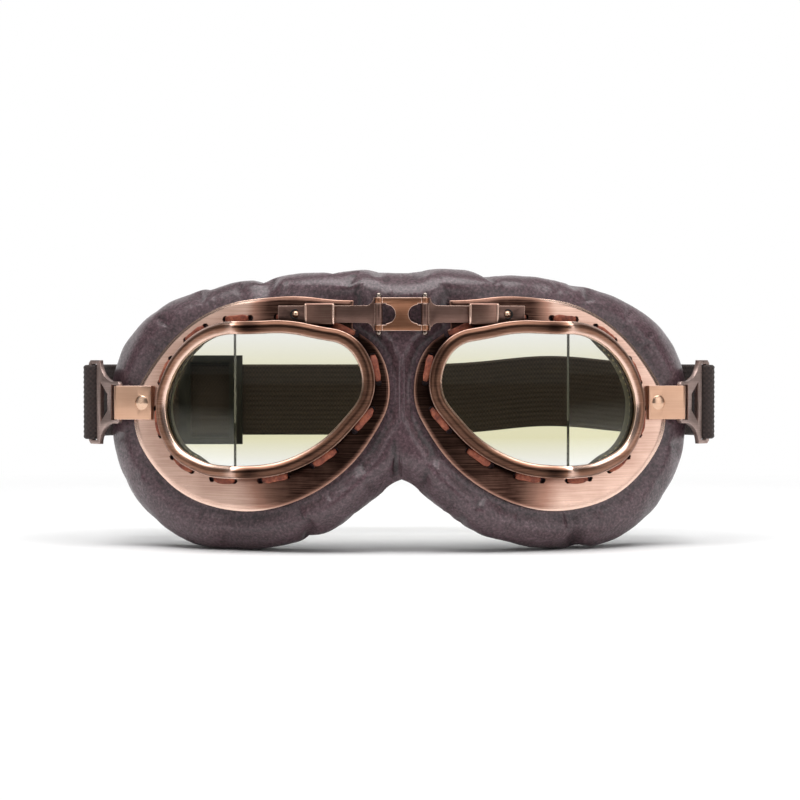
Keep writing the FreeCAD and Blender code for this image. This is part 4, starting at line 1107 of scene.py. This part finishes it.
def roundedPath(corners):
    # straight runs with a tangent arc at each inner corner, sampled in even steps
    places = np.array([c[:2] for c in corners], float)
    radii = np.array([c[2] for c in corners[1:-1]], float)
    before = unit(places[1:-1] - places[:-2])
    after = unit(places[2:] - places[1:-1])
    cross = before[:, 0] * after[:, 1] - before[:, 1] * after[:, 0]
    turn = np.arctan2(cross, (before * after).sum(1))
    starts = places[1:-1] - before * (radii * np.tan(np.abs(turn) / 2))[:, None]
    left = np.stack([-before[:, 1], before[:, 0]], 1) * np.sign(turn)[:, None]
    angle = (np.abs(turn)[:, None] * np.linspace(0, 1, strap["arcSteps"]))[..., None]
    arcs = before[:, None] * np.sin(angle) + left[:, None] * (1 - np.cos(angle))
    arcs = starts[:, None] + radii[:, None, None] * arcs
    path = np.vstack([places[:1], arcs.reshape(-1, 2), places[-1:]])
    travel = gone(path)
    keep = np.concatenate([[True], np.diff(travel) > 1e-6])
    path, travel = path[keep], travel[keep]
    even = np.unique(np.concatenate([travel, np.arange(0, travel[-1], strap["step"])]))
    even = even[np.concatenate([[True], np.diff(even) > 0.05])]
    return np.stack([np.interp(even, travel, path[:, 0]), np.interp(even, travel, path[:, 1])], 1), even


def strapPath():
    # x, y and bend radius at each corner, from the slider round the left loop, behind and to the right loop
    wrap, layer, bend, back = (strap[key] for key in ("wrap", "layer", "bend", "backY"))
    outside = strap["barX"] + wrap
    inside = strap["barX"] - wrap
    front = strap["barY"] - wrap
    behind = strap["barY"] + wrap
    loopEnd = strap["barY"] + strap["loop"]
    return roundedPath([
        (strap["sliderEnd"], back - layer, 0), (-outside + layer, back - layer, bend - layer),
        (-outside + layer, loopEnd, bend), (-inside, behind, bend), (-inside, front, wrap),
        (-outside, front, wrap), (-outside, back, bend), (outside, back, bend), (outside, front, wrap),
        (inside, front, wrap), (inside, behind, bend), (outside - layer, loopEnd, 0)])


def strapRides():
    # two bodies and the places between which a piece turns from one to the other; one body for a plain ride
    back, level, loopX = strap["backY"], strap["turnLevel"], strap["loopX"]
    tail = [spot(x, back, level) for x in strap["tailTurn"]]
    loops = {side: [spot(loopX * sides[side], y, level) for y in strap["loopTurn"]] for side in sides}
    hands = [spot(x, back, level) for x in strap["handX"]]
    bodies = strap["bodies"]
    return [("left_cup", "slider", *tail), ("left_buckle", "left_cup", *loops["left"]), ("left_cup",),
            *zip(bodies, bodies[1:], hands, hands[1:]), ("right_buckle", "right_cup", *loops["right"])]


def makeStrap():
    # the section carried along the path, cut into one piece for each ride
    path, travel = strapPath()
    tangent = unit(np.gradient(path, axis=0))
    normal = np.stack([-tangent[:, 1], tangent[:, 0]], 1)
    # section: a flat band whose two faces rise and fall over the cords, with round edges
    ribs, edge = strap["ribs"], strap["edgeShare"]
    v = np.linspace(0, 1, ribs * strap["ribSteps"] + 1)
    rib = strap["thickness"] / 2 - strap["ribDepth"] * (0.5 + 0.5 * np.cos(2 * np.pi * ribs * v))
    past = ((np.abs(v - 0.5) - 0.5) / edge + 1).clip(0)
    rib = rib * np.sqrt(np.clip(1 - past ** 2, 0.02, 1))
    offset = np.concatenate([rib, -rib[::-1]])
    level = np.concatenate([v, v[::-1]])
    columns = len(level)
    points = np.empty((len(path), columns, 3))
    points[..., :2] = path[:, None] + normal[:, None] * offset[None, :, None]
    onBack = path[:, 1] > strap["backY"] - 1
    lift = strap["lift"] * ridge(path[:, 0] - strap["liftX"], strap["liftWidth"]) * onBack
    points[..., 2] = strap["low"] + strap["width"] * level + lift[:, None]
    straight = np.abs(path[:, 1] - strap["backY"]) < 0.01
    # the tail follows the slider; the run that the slider travels on stays with the left cup
    cuts = [0, int(np.argmax(path[:, 0] < strap["tailX"]))]
    cuts += [int(np.argmax(straight & (path[:, 0] >= x))) for x in [strap["cupX"], *strap["handX"]]]
    cuts.append(len(path) - 1)
    for index, (first, last, ride) in enumerate(zip(cuts, cuts[1:], strapRides())):
        part = points[first:last + 1]
        values = {"travel": np.repeat(travel[first:last + 1], columns),
                  "across": np.tile(level * ribs * 2, len(part))}
        piece = makeTubes("strap_" + str(index + 1), part[None], values=values)
        dress(piece, "strap")
        if len(ride) > 1:
            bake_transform(piece, *ride)
        else:
            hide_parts("strap")
            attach(piece, *ride)


# Bracket rivet: a turned dome with a thin rim

rivet = {"radius": 2.75, "height": 1.5, "rimHeight": 0.35, "rings": 10, "around": 36, "sunk": 0.35,
         "footShares": [0.9, 1.0], "footRises": [0.0, 0.1], "domeEnd": 0.46 * np.pi}


def makeRivet(side):
    # a low profile turned about the line square to the temple flange
    turn = np.radians(flange["turn"])
    out = np.array([np.sin(turn), -np.cos(turn), 0])
    along = np.array([np.cos(turn), np.sin(turn), 0])
    middle = fromFrame(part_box(side + "_bracket_rivet")).mean(0) * np.array([sides[side], 1, 1])
    lift = np.linspace(0, rivet["domeEnd"], rivet["rings"])
    away = rivet["radius"] * np.concatenate([rivet["footShares"], np.cos(lift)])
    dome = rivet["rimHeight"] + (rivet["height"] - rivet["rimHeight"]) * np.sin(lift)
    rise = np.concatenate([rivet["footRises"], dome]) - rivet["sunk"]
    angle = roundAngles(rivet["around"])[:, None]
    ring = along * np.cos(angle) + np.array([0, 0, 1]) * np.sin(angle)
    points = middle + ring[None] * away[:, None, None] + out * rise[:, None, None]
    piece = makeTubes(side + "_rivet", points[None], sides[side])
    dress(piece, "rivet", side + "_cup", side + "_bracket_rivet")


# Clip lips and the pressed ring round the stop rivet

trim = {"lipRadius": 0.42, "lipInset": 0.3, "lipReach": 0.4, "around": 12, "facing": 0.85,
        # a lip's ends: radius and place along it, as shares of the lip's radius
        "lipShares": [0.3, 0.75, 1.0, 1.0, 0.75, 0.3], "lipShifts": [0, 0.15, 0.6, -0.6, -0.15, 0],
        "ringRadius": 1.5, "ringThread": 0.24, "ringFlat": 0.5, "ringAround": 28, "ringSides": 8}


def lipPoints(x, y, low, high):
    # an upright round bar whose ends close in three steps
    across = unit(np.array([-0.9, 0.3, 0.0]))
    angle = roundAngles(trim["around"])[:, None]
    ring = across * np.cos(angle) + np.cross([0, 0, 1], across) * np.sin(angle)
    reach = np.array(trim["lipShares"]) * trim["lipRadius"]
    ends = np.array([[x, y, low]] * 3 + [[x, y, high]] * 3)
    ends[:, 2] += np.array(trim["lipShifts"]) * trim["lipRadius"]
    return ends[:, None] + ring[None] * reach[:, None, None]


def frontOf(node):
    # corner points of a CAD node's faces that look forwards
    mesh = frame["nodes"][node].data
    chosen = {index for face in mesh.polygons if face.normal.y < -trim["facing"] for index in face.vertices}
    return fromFrame([mesh.vertices[index].co for index in sorted(chosen)])


def makeTrim(side):
    face = frontOf(side + "_bridge_clip")
    low, high = face[:, 2].min(), face[:, 2].max()
    out = face[:, 0] * sides[side]
    for label, end, inwards in (("inner", out.min(), 1), ("outer", out.max(), -1)):
        x = (end + inwards * trim["lipInset"]) * sides[side]
        y = face[np.abs(out - end) < trim["lipReach"], 1].min()
        lip = makeTubes(side + "_clip_lip_" + label, lipPoints(x, y, low, high)[None])
        dress(lip, "edge", side + "_cup")
    # the ring: a thin torus pressed into the bar under the stop rivet's head, near-black as painted shade
    centre = fromFrame(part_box(side + "_bar_rivet")).mean(0)
    bar = frontOf(side + "_bridge_bar")
    near = bar[np.argmin(np.abs(bar[:, 0] - centre[0]))]
    angle = roundAngles(trim["ringAround"])[:, None]
    turn = roundAngles(trim["ringSides"])
    away = trim["ringRadius"] + trim["ringThread"] * np.cos(turn)
    depth = near[1] + trim["ringThread"] * np.sin(turn) * trim["ringFlat"]
    x = centre[0] + np.cos(angle) * away
    z = centre[2] + np.sin(angle) * away
    ring = makeRing(side + "_rivet_ring", np.stack(np.broadcast_arrays(x, depth, z), -1))
    dress(ring, "hole", side + "_bar")


# Pieces

for side in sides:
    makeRim(side)
    makeCup(side)
    makeLacing(side)
    makeOverlock(side)
print("rims, cups, laces, stitching")
for side in sides:
    makeMask(side)
print("mask")
makeStrap()
print("strap")

# material, slot, body and width of the worn edge
smallMetal = {
    "bridge_bar": ("bar", "dark_copper", "bar", 0.22),
    "bar_rivet": ("rivet", "pale_steel", "bar", 0.06),
    "bridge_clip": ("clip", "antique_copper", "cup", 0.4),
    "buckle": ("buckle", "dark_copper", "buckle", 0.25),
    "strap_bracket": ("bracket", "antique_copper", "cup", 0.12),
}
bareNodes = {"_front_lens": "glass", "_side_lens": "glass", "_lens_gasket": "gasket"}
for side in sides:
    for node, (material, slotName, body, bevel) in smallMetal.items():
        piece = solidCopy(side + "_" + node, side + "_dressed_" + node, bevel, [material, "edge"])
        dress(piece, None, side + "_" + body)
    pin = solidCopy(side + "_hinge_pin", side + "_dressed_pin", 0.1, ["pin"])
    dress(pin, None, "bridge")
    makeRivet(side)
    makeTrim(side)
    for node, material in bareNodes.items():
        materials = frame["nodes"][side + node].data.materials
        materials.clear()
        materials.append(finish[material])
dress(solidCopy("bridge_link", "dressed_link", 0.15, ["link", "edge"]), None, "bridge")
dress(solidCopy("strap_slider", "dressed_slider", 0.5, ["slider"]), None, "slider")
print("small metal, panes, slider")


# Floor, light and camera; lengths of the studio are metres, the camera's places millimetres

studio = {
    "eyePoint": (-13.3, -724.8, 64.6), "lookAt": (-0.6, 0.0, 49.4), "lens": 101.4, "worldLevel": 0.1,
    "floorFront": -4.0, "floorBack": 2.0, "floorSide": 6.0, "bend": 0.8, "bendSteps": 24, "top": 3.0,
    "sunk": 0.0002,
    # where the floor turns to pure white, where its front turns dark, and where mirrors see it as white
    "whiteFrom": (0.25, 0.5), "darkTo": (-0.6, -0.45), "mirrorFrom": (0.1, 0.5),
    # place, target, size and power
    "lamps": {"top softbox": ((0.0, -0.25, 1.2), (0, 0, 0.04), (1.8, 1.1), 26.0),
              "left softbox": ((-0.95, -0.8, 0.4), (0, 0, 0.05), (0.9, 1.0), 2.2),
              "right softbox": ((0.95, -0.8, 0.35), (0, 0, 0.05), (0.9, 1.0), 4.2)},
}
white = (1.0, 1.0, 1.0, 1.0)


def seenDirectly(tree):
    # 1 for a camera ray, and for one that has gone through glass without being thrown back inside the pane
    path = add(tree, "LightPath").outputs
    straight = combine(tree, "LESS_THAN", path["Glossy Depth"], 0.5)
    through = combine(tree, "MULTIPLY", path["Is Transmission Ray"], straight)
    return combine(tree, "MAXIMUM", path["Is Camera Ray"], through), path["Is Glossy Ray"]


def floorPaper():
    # matt white paper that is pure white far away and dark in front, where only the metal mirrors it
    material, tree, shader = newMaterial("Matt white studio paper", {"Roughness": 0.9})
    place = objectPlace(tree)
    tooth = add(tree, "TexNoise", {"Vector": place, "Scale": 4.0}).outputs["Fac"]
    colour = tinted(tree, tooth, (0.2, "#f2f2f2"), (0.8, "#f6f6f6"))
    depth = add(tree, "SeparateXYZ", {0: place}).outputs["Y"]
    paper = spread(tree, depth, 0, 1, *studio["darkTo"])
    mixed = add(tree, "Mix", {0: paper, 6: linear("#3c3835"), 7: colour}, data_type="RGBA")
    joinUp(tree, shader, mixed.outputs[2])
    away = add(tree, "VectorMath", {0: place}, operation="LENGTH").outputs["Value"]
    far = spread(tree, away, 0, 1, *studio["whiteFrom"], interpolation_type="SMOOTHSTEP")
    behind = spread(tree, depth, 0, 1, *studio["mirrorFrom"], interpolation_type="SMOOTHSTEP")
    seen, glossy = seenDirectly(tree)
    seen = combine(tree, "MAXIMUM", seen, combine(tree, "MULTIPLY", glossy, behind))
    seen = combine(tree, "MULTIPLY", seen, far)
    mixOut(tree, seen, shader, add(tree, "Emission", {"Color": white, "Strength": 1.0}))
    return material


def makeFloor():
    # floor that curves up into a backdrop: a level run, a quarter circle and an upright run
    bend = np.linspace(0, np.pi / 2, studio["bendSteps"])
    radius, back = studio["bend"], studio["floorBack"]
    y = np.concatenate([[studio["floorFront"]], back + radius * np.sin(bend), [back + radius]])
    z = np.concatenate([[0], radius * (1 - np.cos(bend)), [studio["top"]]]) - studio["sunk"]
    x = np.array([-studio["floorSide"], studio["floorSide"]])
    points = np.stack(np.broadcast_arrays(x[None], y[:, None], z[:, None]), -1).reshape(-1, 3)
    floor = makeSheet("studio_floor", points, gridQuads(len(y), 2, False, False)[:, ::-1])
    floor.data.materials.append(floorPaper())


def aimed(name, data, place, target):
    # a lamp or camera at a place, looking at a target
    thing = bpy.data.objects.new(name, data)
    scene.collection.objects.link(thing)
    thing.location = place
    thing.rotation_mode = "QUATERNION"
    thing.rotation_quaternion = Vector(np.subtract(target, place)).to_track_quat("-Z", "Y")
    return thing


def makeLamp(name, place, target, size, power):
    data = bpy.data.lights.new(name, "AREA")
    data.shape = "RECTANGLE"
    data.size, data.size_y = size
    data.energy = power
    aimed(name, data, place, target)


def makeWorld():
    # a dim studio, white where the camera or the glass looks straight out of it
    world = bpy.data.worlds.new("studio")
    scene.world = world
    world.use_nodes = True
    tree = world.node_tree
    level = spread(tree, seenDirectly(tree)[0], studio["worldLevel"], 1.0, 0, 1)
    background = tree.nodes["Background"]
    background.inputs["Color"].default_value = white
    tree.links.new(level, background.inputs["Strength"])


makeFloor()
for name, lamp in studio["lamps"].items():
    makeLamp(name, *lamp)
makeWorld()
cameraData = bpy.data.cameras.new("camera")
cameraData.lens = studio["lens"]
scene.camera = aimed("camera", cameraData, spot(*studio["eyePoint"]), spot(*studio["lookAt"]))
scene.view_settings.view_transform = "Standard"
print("floor, light, camera")
